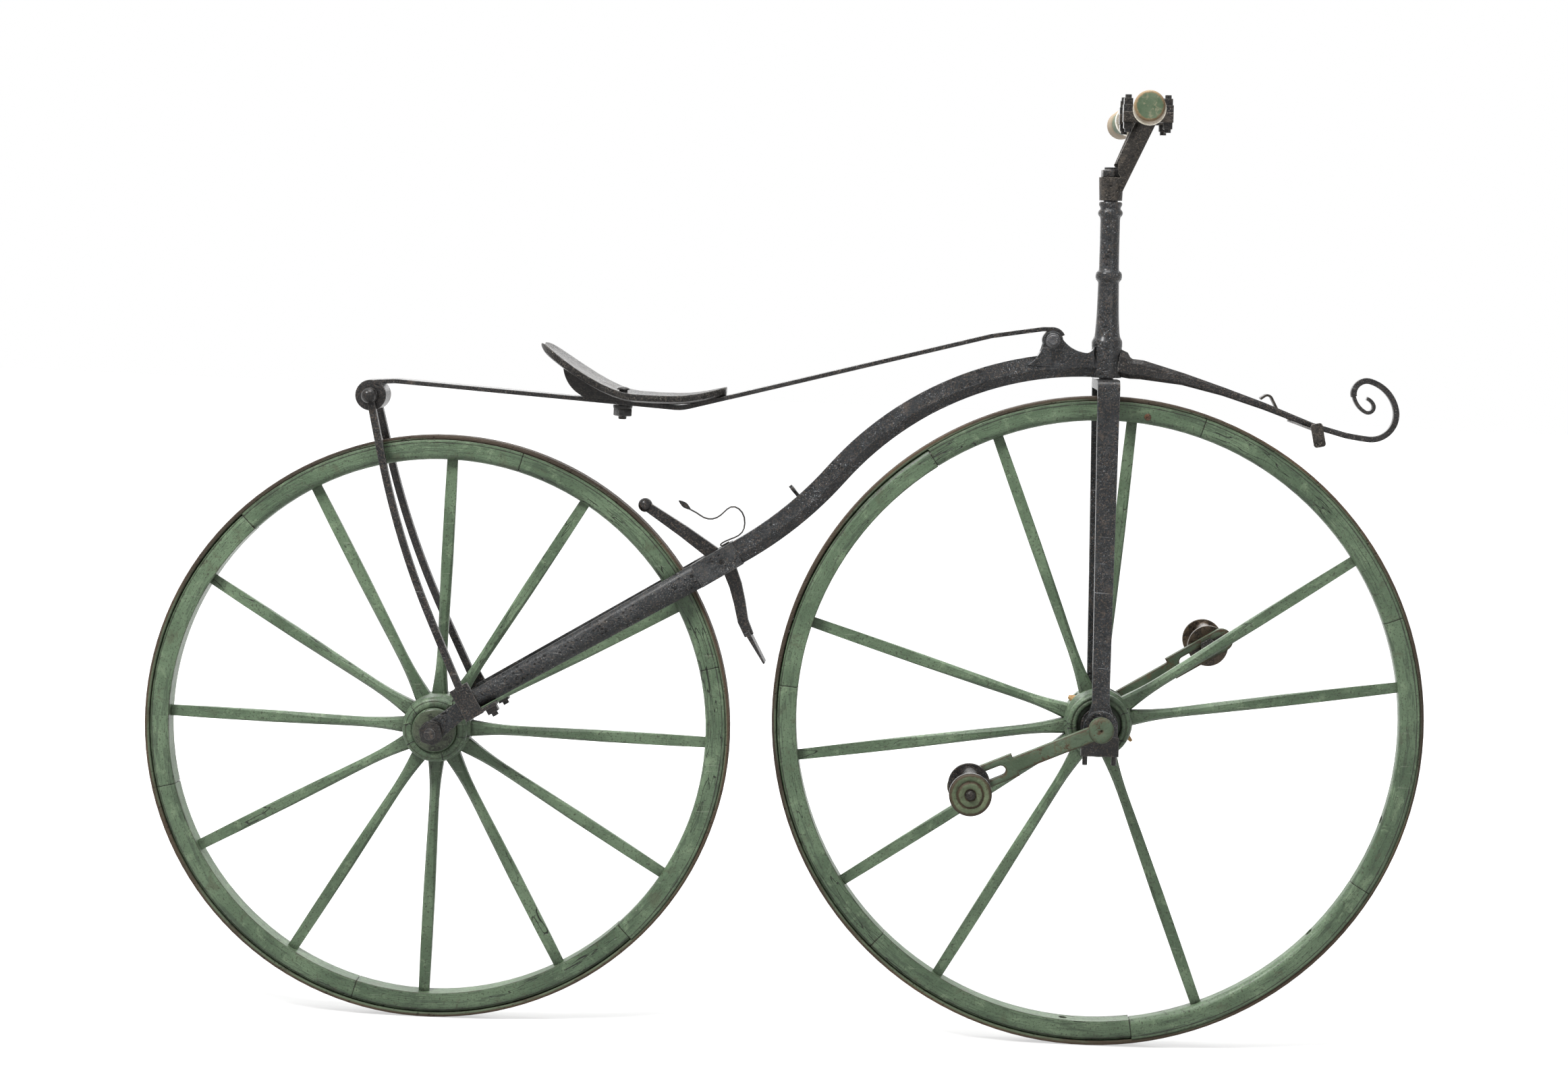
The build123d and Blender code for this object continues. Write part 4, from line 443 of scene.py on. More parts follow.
    def wood_grain(self) -> None:
        """Make the group of straight grain with fine drying cracks."""
        graph, given, out = self.start("Wood grain", [("Vector", "Vector", ORIGIN)],
                                       [("Grain", "Float"), ("Crack", "Float")])
        vector = given["Vector"]
        coarse = graph.noise(vector, 120.0, 4.0, 0.6, 0.4)
        fine = graph.noise(vector, 620.0, 3.0, 0.6)
        graph.feed(out["Grain"], graph.plus(graph.times(coarse, 0.6), graph.times(fine, 0.4)))
        split = graph.math("ABSOLUTE", graph.minus(graph.noise(vector, 95.0, 2.0, 0.5), 0.5))
        line = graph.minus(1.0, graph.step(split, 0.0, 0.012))
        where = graph.step(graph.noise(vector, 24.0, 2.0, 0.5), 0.54, 0.62)
        graph.feed(out["Crack"], graph.times(line, where))

    def hub_splits(self) -> None:
        """Make the group of dark radial splits in a hub's face."""
        graph, given, out = self.start(
            "Hub splits", [("Angle", "Float", 0.0), ("Radius", "Float", 0.0), ("Count", "Float", 1.0),
                           ("Turn", "Float", 0.0)], [("Split", "Float")])
        jag = graph.noise(graph.place(), 90.0, 3.0, 0.5)
        angle = graph.plus(given["Angle"], given["Turn"])
        angle = graph.plus(angle, graph.times(graph.minus(jag, 0.5), 0.34))
        cell = graph.add("ShaderNodeTexVoronoi", voronoi_dimensions="1D", feature="DISTANCE_TO_EDGE")
        graph.feed(cell.inputs["W"], angle)
        graph.feed(cell.inputs["Scale"], given["Count"])
        near = graph.times(graph.math("DIVIDE", cell.outputs["Distance"], given["Count"]), given["Radius"])
        graph.feed(out["Split"], graph.minus(1.0, graph.step(near, 0.0002, 0.0008)))

    def build(self) -> None:
        """Make every shared group."""
        self.wheel_place()
        self.edge_wear()
        self.blotches()
        self.forged()
        self.wood_grain()
        self.hub_splits()


def new_material(name: str) -> tuple[Graph, Node, Material]:
    """Start a material with a Principled shader.

    Args:
        name: The material's name.

    Returns:
        Its graph, its shader node and the material.
    """
    material = bpy.data.materials.new(name)
    material.use_nodes = True
    material.node_tree.nodes.clear()
    graph = Graph(material.node_tree)
    shader = graph.add("ShaderNodeBsdfPrincipled")
    shader.inputs["Specular IOR Level"].default_value = SPECULAR_LEVEL
    output = graph.add("ShaderNodeOutputMaterial")
    graph.feed(output.inputs["Surface"], shader.outputs["BSDF"])
    return graph, shader, material


class Surface:
    """A material in the making, with the shared effects that every finish reads."""

    def __init__(self, name: str, base: Colour, size: float, wear: tuple[float, float, float],
                 wheel: Optional[tuple[Sequence[float], float]] = None, run: str = "") -> None:
        """Start a material.

        Args:
            name: The material's name.
            base: Its first colour.
            size: Scale of its blotches.
            wear: Reach in metres, break-up and bias of its worn edges.
            wheel: Centre and mean radius of the wheel or disc that it follows, if any.
            run: The wheel's coordinate that the blotches follow, if any.
        """
        self.graph, self.shader, self.material = new_material(name)
        self.base: object = srgb(*base)
        self.place = self.graph.place()
        self.wheel = None
        if wheel:
            self.wheel = self.graph.group("Wheel place", Centre=tuple(wheel[0]), Mean_radius=wheel[1])
        along = self.wheel[run] if run else self.place
        self.age = self.graph.group("Blotches", Vector=along, Size=size)
        self.wear = self.graph.group("Edge wear and corner shade", Reach=wear[0], Break_up=wear[1], Bias=wear[2])

    def skin(self, pitting: float) -> bpy.types.bpy_prop_collection:
        """Read the forged skin, pitted this much."""
        return self.graph.group("Forged skin", Vector=self.place, Pitting=pitting)

    def aged(self, kind: str, low: float, high: float) -> Socket:
        """Ramp one of the blotch patterns from 0 at low to 1 at high."""
        return self.graph.step(self.age[kind], low, high)

    def ragged(self) -> Socket:
        """Read the distance from the wheel's axis with an uneven edge."""
        return self.graph.plus(self.wheel["Radius"], self.graph.times(self.age["Patch"], 0.006))

    def layer(self, mask: Socket, colour: Colour, share: float = 1.0) -> None:
        """Lay a colour over the base.

        Args:
            mask: Where it shows.
            colour: The colour.
            share: How much of it shows there.
        """
        if share != 1.0:
            mask = self.graph.times(mask, share)
        self.base = self.graph.mix(mask, self.base, srgb(*colour))

    def varnish(self, weight: float, roughness: float) -> None:
        """Put a clear coat over the surface."""
        self.shader.inputs["Coat Weight"].default_value = weight
        self.shader.inputs["Coat Roughness"].default_value = roughness

    def finish(self, rough: tuple[float, float], height: Socket, depth: float, strength: float,
               rougher: Optional[Socket] = None) -> Material:
        """Set the base colour, the roughness and a bump over eased edges.

        Args:
            rough: Least roughness, and how much the patches add to it.
            height: The bump's height.
            depth: Depth in metres of a height of 1.
            strength: The bump's strength.
            rougher: What else adds to the roughness, if anything.

        Returns:
            The material.
        """
        graph, sockets = self.graph, self.shader.inputs
        graph.feed(sockets["Base Color"], self.base)
        roughness = graph.plus(rough[0], graph.times(self.age["Patch"], rough[1]))
        graph.feed(sockets["Roughness"], roughness if rougher is None else graph.plus(roughness, rougher))
        bump = graph.add("ShaderNodeBump")
        bump.inputs["Strength"].default_value = strength
        bump.inputs["Distance"].default_value = depth
        graph.feed(bump.inputs["Height"], height)
        graph.feed(bump.inputs["Normal"], self.wear["Normal"])
        graph.feed(sockets["Normal"], bump.outputs["Normal"])
        return self.material


@dataclass(frozen=True)
class GreenWood:
    """Old green paint on wheel timber, chalky on its faces and chipped dark on its edges."""

    name: str
    centre: Sequence[float]
    mean_radius: float
    grain: GrainRun
    splits: float = 0.0
    split_turn: float = 0.0
    weather: float = 1.0
    ease: float = 0.0034
    seam_out: float = 0.0098

    def make(self) -> Material:
        """Build the painted wood.

        Returns:
            The material.
        """
        coat = Surface(self.name, (73, 91, 69), 1.0, (self.ease, 1.9, -0.12), (self.centre, self.mean_radius))
        graph, radius = coat.graph, coat.wheel["Radius"]
        wood = graph.group("Wood grain", Vector=coat.wheel[self.grain.value])
        coat.layer(coat.aged("Wide", 0.34, 0.66), (99, 118, 93))
        coat.layer(coat.aged("Patch", 0.52, 0.70), (124, 142, 114), 0.6)
        coat.layer(graph.step(wood["Grain"], 0.50, 0.60), (52, 64, 50), 0.62 * self.weather)
        coat.layer(coat.aged("Patch", 0.44, 0.30), (70, 72, 54), 0.55 * self.weather)
        coat.layer(coat.aged("Speck", 0.55, 0.63), (46, 48, 37), 0.8)
        coat.layer(coat.age["Scratch"], (150, 158, 140), 0.3)
        # Painted shade: darker green in the corners.
        coat.layer(coat.wear["Corner shade"], (34, 36, 29), 1.1)
        coat.layer(coat.wear["Edge"], (58, 54, 41), 0.9)
        coat.layer(wood["Crack"], (24, 23, 19))
        height = graph.plus(graph.times(wood["Grain"], 0.7), graph.times(coat.age["Patch"], 0.5))
        height = graph.minus(height, graph.times(wood["Crack"], 1.2))
        if self.grain is GrainRun.ROUND_THE_RIM:
            seam = graph.math("ABSOLUTE", graph.minus(radius, self.mean_radius + self.seam_out))
            seam = graph.plus(seam, graph.times(coat.age["Patch"], 0.0016))
            coat.layer(graph.minus(1.0, graph.step(seam, 0.0009, 0.0019)), (26, 23, 18), 0.9)
        if self.splits:
            split = graph.group("Hub splits", Angle=coat.wheel["Angle"], Radius=radius, Count=self.splits,
                                Turn=self.split_turn)
            ring = graph.times(split["Split"], graph.step(radius, 0.0315, 0.033))
            coat.layer(ring, (18, 16, 13))
            height = graph.minus(height, graph.times(ring, 2.0))
        coat.varnish(0.16, 0.3)
        return coat.finish((0.30, 0.30), height, 0.0024, 0.9)


@dataclass(frozen=True)
class OldIron:
    """Hand-forged iron under the remains of black paint, pitted and browned by rust."""

    name: str
    paint: Colour = (22, 22, 23)
    worn: Colour = (128, 128, 126)
    rust: Colour = (66, 55, 45)
    rust_share: float = 0.4
    pitting: float = 0.7
    gloss: float = 0.40
    bright: float = 0.55
    ease: float = 0.0025
    sheen: float = 0.35

    def make(self) -> Material:
        """Build the iron.

        Returns:
            The material.
        """
        bias = -0.1 - 30.0 * (self.ease - 0.0025)
        coat = Surface(self.name, self.paint, 1.3, (self.ease, 1.3, bias))
        graph, skin = coat.graph, coat.skin(self.pitting)
        dark = lighter(self.paint, -12)
        coat.layer(coat.aged("Wide", 0.38, 0.62), lighter(self.paint, 16))
        coat.base = graph.mix(graph.times(coat.aged("Patch", 0.40, 0.60), 0.75), srgb(*dark), coat.base)
        coat.layer(coat.aged("Speck", 0.47, 0.38), dark, 0.7)
        low = 0.72 - 0.36 * self.rust_share
        rusty = graph.times(coat.aged("Patch", low, low + 0.16), 0.8)
        coat.layer(rusty, self.rust)
        coat.layer(coat.aged("Speck", 0.52, 0.62), lighter(self.rust, 10), 0.7)
        coat.layer(skin["Pit"], (17, 15, 14), 0.85)
        # Painted glints: bright specks in the bare-metal colour, and made more metallic below.
        glint = graph.times(skin["Glint"], self.bright)
        coat.layer(glint, self.worn)
        coat.layer(coat.age["Scratch"], self.worn, 0.45)
        bare = graph.times(coat.wear["Edge"], 0.38)
        coat.layer(bare, self.worn)
        # Painted shade: near black in the corners.
        coat.layer(coat.wear["Corner shade"], (20, 18, 16), 0.8)
        metal = graph.plus(0.55, graph.times(graph.math("MAXIMUM", glint, bare), 0.6))
        graph.feed(coat.shader.inputs["Metallic"], graph.times(metal, graph.minus(1.0, rusty)))
        coat.varnish(self.sheen, 0.27)
        return coat.finish((self.gloss - 0.16, 0.28), skin["Height"], 0.0032, 1.0, graph.times(rusty, 0.14))


@dataclass(frozen=True)
class TyreIron:
    """A rusted iron tyre with a skim of the wheel's green paint on its edges."""

    name: str
    centre: Sequence[float]
    mean_radius: float

    def make(self) -> Material:
        """Build the rusted tyre.

        Returns:
            The material.
        """
        coat = Surface(self.name, (50, 42, 34), 1.0, (0.002, 1.2, -0.1), (self.centre, self.mean_radius), "Round")
        graph, skin = coat.graph, coat.skin(0.8)
        coat.layer(coat.aged("Wide", 0.36, 0.64), (76, 64, 51))
        coat.layer(coat.aged("Patch", 0.5, 0.66), (96, 78, 60), 0.7)
        coat.layer(coat.aged("Speck", 0.58, 0.7), (44, 38, 33), 0.6)
        inner = graph.step(coat.wheel["Radius"], self.mean_radius + 0.0022, self.mean_radius - 0.0004)
        coat.layer(graph.times(inner, coat.aged("Patch", 0.42, 0.56)), (92, 108, 86), 0.8)
        coat.layer(skin["Pit"], (36, 31, 27), 0.7)
        coat.layer(coat.wear["Edge"], (128, 116, 102), 0.6)
        graph.feed(coat.shader.inputs["Metallic"], graph.times(coat.wear["Edge"], 0.5))
        return coat.finish((0.55, 0.3), skin["Height"], 0.0018, 0.8)


@dataclass(frozen=True)
class GreenIron:
    """Green paint brushed over iron, worn through to rust on edges and bosses."""

    name: str
    edge_bias: float = 0.1
    paint: Colour = (70, 84, 65)

    def make(self) -> Material:
        """Build the painted iron.

        Returns:
            The material.
        """
        coat = Surface(self.name, self.paint, 1.6, (0.0055, 2.6, self.edge_bias))
        coat.layer(coat.aged("Wide", 0.36, 0.64), lighter(self.paint, 18))
        coat.layer(coat.aged("Patch", 0.54, 0.7), (88, 76, 55), 0.8)
        coat.layer(coat.aged("Speck", 0.6, 0.7), (58, 50, 40), 0.7)
        coat.layer(coat.age["Scratch"], (44, 42, 38), 0.8)
        coat.layer(coat.wear["Edge"], (70, 53, 38), 0.95)
        # Painted shade: darker in the corners.
        coat.layer(coat.wear["Corner shade"], (40, 38, 32), 0.9)
        return coat.finish((0.42, 0.3), coat.skin(0.5)["Height"], 0.0015, 0.7)


@dataclass(frozen=True)
class PedalFace:
    """A pedal's outer disc: green paint left in the hollows and rust where the foot wore it."""

    name: str
    centre: Sequence[float]
    ring_radius: float = 0.0203

    def make(self) -> Material:
        """Build the worn disc paint.

        Returns:
            The material.
        """
        coat = Surface(self.name, (74, 86, 64), 2.4, (0.003, 1.6, 0.0), (self.centre, 0.02))
        graph, ragged = coat.graph, coat.ragged()
        coat.layer(coat.aged("Wide", 0.36, 0.64), (104, 114, 88))
        ring = graph.math("ABSOLUTE", graph.minus(ragged, self.ring_radius))
        ring = graph.minus(1.0, graph.step(ring, 0.0010, 0.0026))
        gone = graph.math("MAXIMUM", graph.step(ragged, 0.0268, 0.0292), ring)
        gone = graph.math("MAXIMUM", gone, graph.step(ragged, 0.0125, 0.0108))
        gone = graph.math("MAXIMUM", gone, graph.times(coat.aged("Patch", 0.55, 0.68), 0.7))
        coat.layer(gone, (62, 48, 35), 0.9)
        coat.layer(coat.aged("Speck", 0.58, 0.68), (38, 32, 26), 0.7)
        return coat.finish((0.38, 0.3), coat.skin(0.6)["Height"], 0.0016, 0.8)


@dataclass(frozen=True)
class WornGrip:
    """A turned wooden grip with its paint left in the middle and bare wood at its rim."""

    name: str
    centre: Sequence[float]
    bare_from: float

    def make(self) -> Material:
        """Build the worn grip wood.

        Returns:
            The material.
        """
        coat = Surface(self.name, (66, 84, 62), 2.6, (0.004, 1.6, 0.02), (self.centre, 0.02))
        graph = coat.graph
        grain = graph.group("Wood grain", Vector=coat.wheel["Axial"])["Grain"]
        coat.layer(coat.aged("Wide", 0.36, 0.64), (100, 112, 90))
        bare = graph.mix(grain, srgb(96, 78, 54), srgb(150, 128, 96))
        rim = graph.step(coat.ragged(), self.bare_from, self.bare_from + 0.0016)
        coat.base = graph.mix(graph.math("MAXIMUM", rim, coat.wear["Edge"]), coat.base, bare)
        coat.layer(coat.aged("Patch", 0.52, 0.62), (140, 136, 112), 0.6)
        coat.layer(coat.age["Scratch"], (56, 54, 46), 0.9)
        coat.layer(coat.aged("Speck", 0.6, 0.7), (70, 66, 54), 0.6)
        return coat.finish((0.4, 0.3), grain, 0.0008, 0.5)


@dataclass(frozen=True)
class BareWood:
    """Raw torn wood, tan with darker weathered fibres."""

    name: str

    def make(self) -> Material:
        """Build the raw wood.

        Returns:
            The material.
        """
        coat = Surface(self.name, (122, 92, 58), 3.0, (0.001, 1.0, 0.0))
        grain = coat.graph.group("Wood grain", Vector=coat.place)["Grain"]
        coat.layer(grain, (204, 168, 120))
        coat.layer(coat.aged("Patch", 0.5, 0.7), (96, 72, 48))
        return coat.finish((0.55, 0.3), grain, 0.001, 0.6)


@dataclass(frozen=True)
class BrightMetal:
    """Plated metal gone slightly cloudy."""

    name: str
    tint: Colour = (206, 200, 186)

    def make(self) -> Material:
        """Build the plated metal.

        Returns:
            The material.
        """
        coat = Surface(self.name, self.tint, 3.0, (0.0015, 0.6, -0.1))
        speck = coat.age["Speck"]
        coat.layer(coat.aged("Patch", 0.45, 0.7), (150, 138, 112))
        coat.layer(coat.aged("Speck", 0.6, 0.7), (88, 78, 62), 0.6)
        coat.graph.feed(coat.shader.inputs["Metallic"], coat.graph.minus(1.0, coat.graph.times(speck, 0.3)))
        return coat.finish((0.16, 0.28), speck, 0.0004, 0.35)


class Bench:
    """Holds the hand tools that the new pieces are modelled with."""

    def __init__(self, coats: dict[str, Material]) -> None:
        """Set up the bench with the finishes by name."""
        self.coats = coats

    @staticmethod
    def clear() -> None:
        """Let go of everything that is selected."""
        bpy.ops.object.select_all(action="DESELECT")

    def hold(self, piece: Piece) -> None:
        """Select one piece and make it active.

        Args:
            piece: The piece.
        """
        self.clear()
        piece.select_set(True)
        bpy.context.view_layer.objects.active = piece

    def take(self, name: str) -> Piece:
        """Name the primitive that was just added, settle its place in its mesh and open it in edit mode.

        Args:
            name: The piece's name.

        Returns:
            The piece, with all of it selected.
        """
        piece = bpy.context.active_object
        piece.name = piece.data.name = name
        bpy.ops.object.transform_apply(location=True, rotation=True, scale=True)
        self.edit(piece)
        return piece

    def edit(self, piece: Piece) -> None:
        """Open a piece in edit mode with all of it selected.

        Args:
            piece: The piece.
        """
        self.hold(piece)
        bpy.ops.object.mode_set(mode="EDIT")
        bpy.ops.mesh.select_mode(type="VERT")
        bpy.ops.mesh.select_all(action="SELECT")

    @staticmethod
    def done() -> None:
        """Leave edit mode."""
        bpy.ops.object.mode_set(mode="OBJECT")

    @staticmethod
    def pick(piece: Piece, test: Callable[[Vector, Vector], bool]) -> None:
        """Select faces in edit mode by their middle and normal.

        Args:
            piece: The piece that is open in edit mode.
            test: Says whether a face with this middle and normal is wanted.
        """
        bpy.ops.mesh.select_mode(type="FACE")
        mesh = bmesh.from_edit_mesh(piece.data)
        for face in mesh.faces:
            face.select_set(test(face.calc_center_median(), face.normal))
        mesh.select_flush_mode()
        bmesh.update_edit_mesh(piece.data)

    @staticmethod
    def pick_points(piece: Piece, test: Callable[[Vector], bool]) -> None:
        """Select points in edit mode by their place.

        Args:
            piece: The piece that is open in edit mode.
            test: Says whether a point at this place is wanted.
        """
        bpy.ops.mesh.select_mode(type="VERT")
        bpy.ops.mesh.select_all(action="DESELECT")
        mesh = bmesh.from_edit_mesh(piece.data)
        for point in mesh.verts:
            point.select_set(test(point.co))
        mesh.select_flush_mode()
        bmesh.update_edit_mesh(piece.data)

    @staticmethod
    def shift(move: Sequence[float]) -> None:
        """Move what is selected in edit mode, in metres."""
        bpy.ops.transform.translate(value=move)

    @staticmethod
    def draw_out(move: Sequence[float]) -> None:
        """Extrude what is selected in edit mode, in metres."""
        bpy.ops.mesh.extrude_region_move(TRANSFORM_OT_translate={"value": move})

    @staticmethod
    def stretch(scale: Sequence[float], about: Sequence[float] = ORIGIN) -> None:
        """Scale what is selected in edit mode about a point."""
        bpy.ops.transform.resize(value=scale, center_override=about)

    def chain(self, name: str, points: Profile) -> Piece:
        """Draw a chain of edges in the upright middle plane and leave it selected in edit mode.

        Args:
            name: The piece's name.
            points: X and Z of each point, in millimetres.

        Returns:
            The piece, open in edit mode.
        """
        self.clear()
        bpy.ops.mesh.primitive_plane_add(size=0.001, location=ORIGIN)
        piece = self.take(name)
        bpy.ops.mesh.merge(type="CENTER")
        last = (0.0, 0.0)
        for index, point in enumerate(points):
            move = ((point[0] - last[0]) / MM, 0.0, (point[1] - last[1]) / MM)
            if index:
                self.draw_out(move)
            else:
                self.shift(move)
            last = point
        bpy.ops.mesh.select_all(action="SELECT")
        return piece

    def turned(self, name: str, profile: Profile, steps: int = 48) -> Piece:
        """Turn a profile as on a lathe, standing on the origin.

        Args:
            name: The piece's name.
            profile: Radius and height of each point, in millimetres.
            steps: Steps in the turn.

        Returns:
            The turned piece.
        """
        piece = self.chain(name, profile)
        bpy.ops.mesh.spin(steps=steps, angle=math.tau, center=ORIGIN, axis=(0.0, 0.0, 1.0))
        self.close()
        return piece

    def close(self) -> None:
        """Merge the doubles of the piece in edit mode, turn its faces outward and leave."""
        bpy.ops.mesh.select_all(action="SELECT")
        bpy.ops.mesh.remove_doubles(threshold=0.00001)
        bpy.ops.mesh.normals_make_consistent(inside=False)
        self.done()

    def place(self, piece: Piece, where: Matrix) -> Piece:
        """Carry a piece from the origin to its seat and put its place in its mesh.

        Args:
            piece: The piece, modelled on Z.
            where: Its seat.

        Returns:
            The same piece.
        """
        piece.matrix_world = where
        self.hold(piece)
        bpy.ops.object.transform_apply(location=True, rotation=True, scale=True)
        return piece

    def join(self, pieces: Sequence[Piece], name: str) -> Piece:
        """Join like pieces into one.

        Args:
            pieces: The pieces, each with its place in its mesh.
            name: The joined piece's name.

        Returns:
            The joined piece.
        """
        self.clear()
        for piece in pieces:
            piece.select_set(True)
        bpy.context.view_layer.objects.active = pieces[0]
        if len(pieces) > 1:
            bpy.ops.object.join()
        pieces[0].name = pieces[0].data.name = name
        return pieces[0]

    def spread(self, model: Piece, name: str, seats: Sequence[Matrix]) -> Piece:
        """Copy a model to each of its seats, each copy with its own mesh, as one piece.

        Args:
            model: The model at the origin, which goes.
            name: The finished piece's name.
            seats: Where the copies go.

        Returns:
            The joined copies.
        """
        copies = []
        for where in seats:
            self.hold(model)
            bpy.ops.object.duplicate(linked=False)
            copies.append(self.place(bpy.context.active_object, where))
        bpy.data.objects.remove(model, do_unlink=True)
        return self.join(copies, name)

    def finish(self, piece: Piece, body: Body, slot: str, coat: str, smooth: float, replaces: str = "") -> None:
        """Smooth a piece, dress it and hang it on its body.

        Args:
            piece: The piece.
            body: The body it rides on.
            slot: Not used.
            coat: The finish's name.
            smooth: Edges sharper than this many degrees stay crisp.
            replaces: The solid node that it stands for, if any.
        """
        self.hold(piece)
        bpy.ops.object.shade_smooth_by_angle(angle=math.radians(smooth))
        piece.data.materials.clear()
        piece.data.materials.append(self.coats[coat])
        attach(piece, body.value)
        if replaces:
            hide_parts(replaces)
        LOG.info("made %s for %s in %s", piece.name, body.value, coat)


@dataclass
class SpokeSet:
    """A wheel's eight-sided spokes, swelling along their length and flared to a flat-cut wedge at the hub."""

    bench: Bench
    wheel: str
    body: Body
    centre: Vector
    start: float
    count: int
    rim_inner: float
    missing: tuple[int, ...] = ()
    sides: int = 8
    flat_start: float = 48.0
    flat_end: float = 150.0
    flat_root: float = 10.4
    flat_tip: float = 7.7

    def stations(self) -> list[tuple[float, float, float]]:
        """List the sections from hub to rim.

        Returns:
            Distance from the axle, half width round the rim and half depth along the axle, in millimetres.
        """
        rim = self.rim_inner
        return [(41.0, 10.9, 15.4), (48.0, 10.7, 15.0), (55.0, 10.0, 14.0), (64.0, 9.0, 12.6), (76.0, 7.9, 11.0),
                (90.0, 7.1, 9.5), (106.0, 6.7, 8.5), (130.0, 6.8, 7.9), (165.0, 7.3, 7.7),
                (rim * 0.62, 8.1, 7.7), (rim * 0.85, 7.9, 7.6), (rim + 3.0, 7.4, 7.4)]

    def blank(self) -> Piece:
        """Draw one spoke out along Z and cut its two flats.

        Returns:
            The spoke, with the axle at the origin.
        """
        bench, sections = self.bench, self.stations()
        reach, wide, deep = (value / MM for value in sections[0])
        half_side = math.pi / self.sides
        bench.clear()
        bpy.ops.mesh.primitive_circle_add(vertices=self.sides, radius=1.0 / math.cos(half_side), fill_type="NGON",
                                          location=ORIGIN)
        piece = bench.take(f"{self.wheel}_spoke")
        bpy.ops.transform.rotate(value=half_side, orient_axis="Z", center_override=ORIGIN)
        bench.stretch((wide, deep, 1.0))
        bench.shift((0.0, 0.0, reach))
        for before, after in zip(sections, sections[1:]):
            bench.draw_out((0.0, 0.0, (after[0] - before[0]) / MM))
            bench.stretch((after[1] / before[1], after[2] / before[2], 1.0), (0.0, 0.0, after[0] / MM))
        fall, run = (self.flat_tip - self.flat_root) / MM, (self.flat_end - self.flat_start) / MM
        for side in (1.0, -1.0):
            bpy.ops.mesh.select_all(action="SELECT")
            bpy.ops.mesh.bisect(plane_co=(0.0, side * self.flat_root / MM, self.flat_start / MM),
                                plane_no=Vector((0.0, run * side, -fall)).normalized(), use_fill=True,
                                clear_outer=True)
        bench.close()
        return piece

    def build(self) -> None:
        """Copy the spoke round the wheel, leaving out the lost ones."""
        seats = round_seats(self.centre, self.start, self.count, missing=self.missing)
        piece = self.bench.spread(self.blank(), f"{self.wheel}_wheel_spokes", seats)
        self.bench.finish(piece, self.body, "green_wood", f"{self.wheel}_spoke_paint", 32.0, f"{self.wheel}_spokes")


@dataclass
class RimJoints:
    """The dark blocks that fill the open joints between the felloes."""

    bench: Bench
    wheel: str
    body: Body
    centre: Vector
    middle: float
    start: float
    count: int
    size: tuple[float, float, float] = (1.0, 25.4, 26.6)

    def build(self) -> None:
        """Model one joint block and copy it round the rim."""
        bench = self.bench
        wide, high, deep = (value / MM for value in self.size)
        bench.clear()
        bpy.ops.mesh.primitive_cube_add(size=1.0, location=ORIGIN)
        model = bench.take(f"{self.wheel}_joint")
        bench.stretch((wide, deep, high))
        bpy.ops.mesh.subdivide(number_cuts=3)
        bench.pick_points(model, lambda place: abs(place.y) > deep * 0.49 and abs(place.z) > high * 0.49)
        bench.stretch((1.0, 0.8, 0.8))
        bench.done()
        seats = round_seats(self.centre, self.start, self.count, self.middle)
        piece = bench.spread(model, f"{self.wheel}_joint_filler", seats)
        bench.finish(piece, self.body, "green_wood", "wedge_dark", 30.0)


@dataclass
class HubTrim:
    """The turned face rings of the two hubs, as closed sections of radius and height in millimetres."""

    bench: Bench
    front_lip: float = 43.0
    rear_lip: float = 37.0
    rear_half: float = 42.0
    front_ring: Profile = (
        (31.2, -0.4), (31.2, 0.9), (32.0, 1.7), (33.4, 2.0), (36.2, 1.9), (36.9, 1.2), (37.2, 0.5), (38.2, 0.5),
        (38.6, 1.1), (39.4, 1.5), (41.4, 1.1), (43.2, -0.4), (44.5, -2.2), (44.8, -4.0), (44.2, -4.2), (31.2, -0.4))
    rear_ring: Profile = (
        (31.3, -0.4), (31.3, 0.4), (32.4, 1.1), (36.0, 1.5), (38.8, 1.1), (39.4, 0.5), (40.0, 0.4), (40.6, 0.8),
        (42.2, 0.0), (44.2, -1.6), (45.1, -3.6), (45.2, -6.5), (44.3, -7.0), (31.3, -0.4))
    rear_boss: Profile = ((8.4, -0.3), (8.4, 0.8), (27.0, 1.0), (28.6, 0.4), (29.4, -0.3), (8.4, -0.3))

    def build(self) -> None:
        """Turn each ring and set it on both faces of its hub."""
        front, rear = (FRONT_AXLE, Body.FRONT_WHEEL), (REAR_AXLE, Body.REAR_WHEEL)
        for name, profile, (centre, body), lip, coat in (
                ("front_hub_rings", self.front_ring, front, self.front_lip, "front_hub_paint"),
                ("rear_hub_rings", self.rear_ring, rear, self.rear_lip, "rear_hub_paint"),
                ("rear_hub_bosses", self.rear_boss, rear, self.rear_half, "hub_boss_worn")):
            model = self.bench.turned(name, profile, 64)
            piece = self.bench.spread(model, name, face_seats(centre, lip))
            self.bench.finish(piece, body, "green_wood", coat, 40.0)


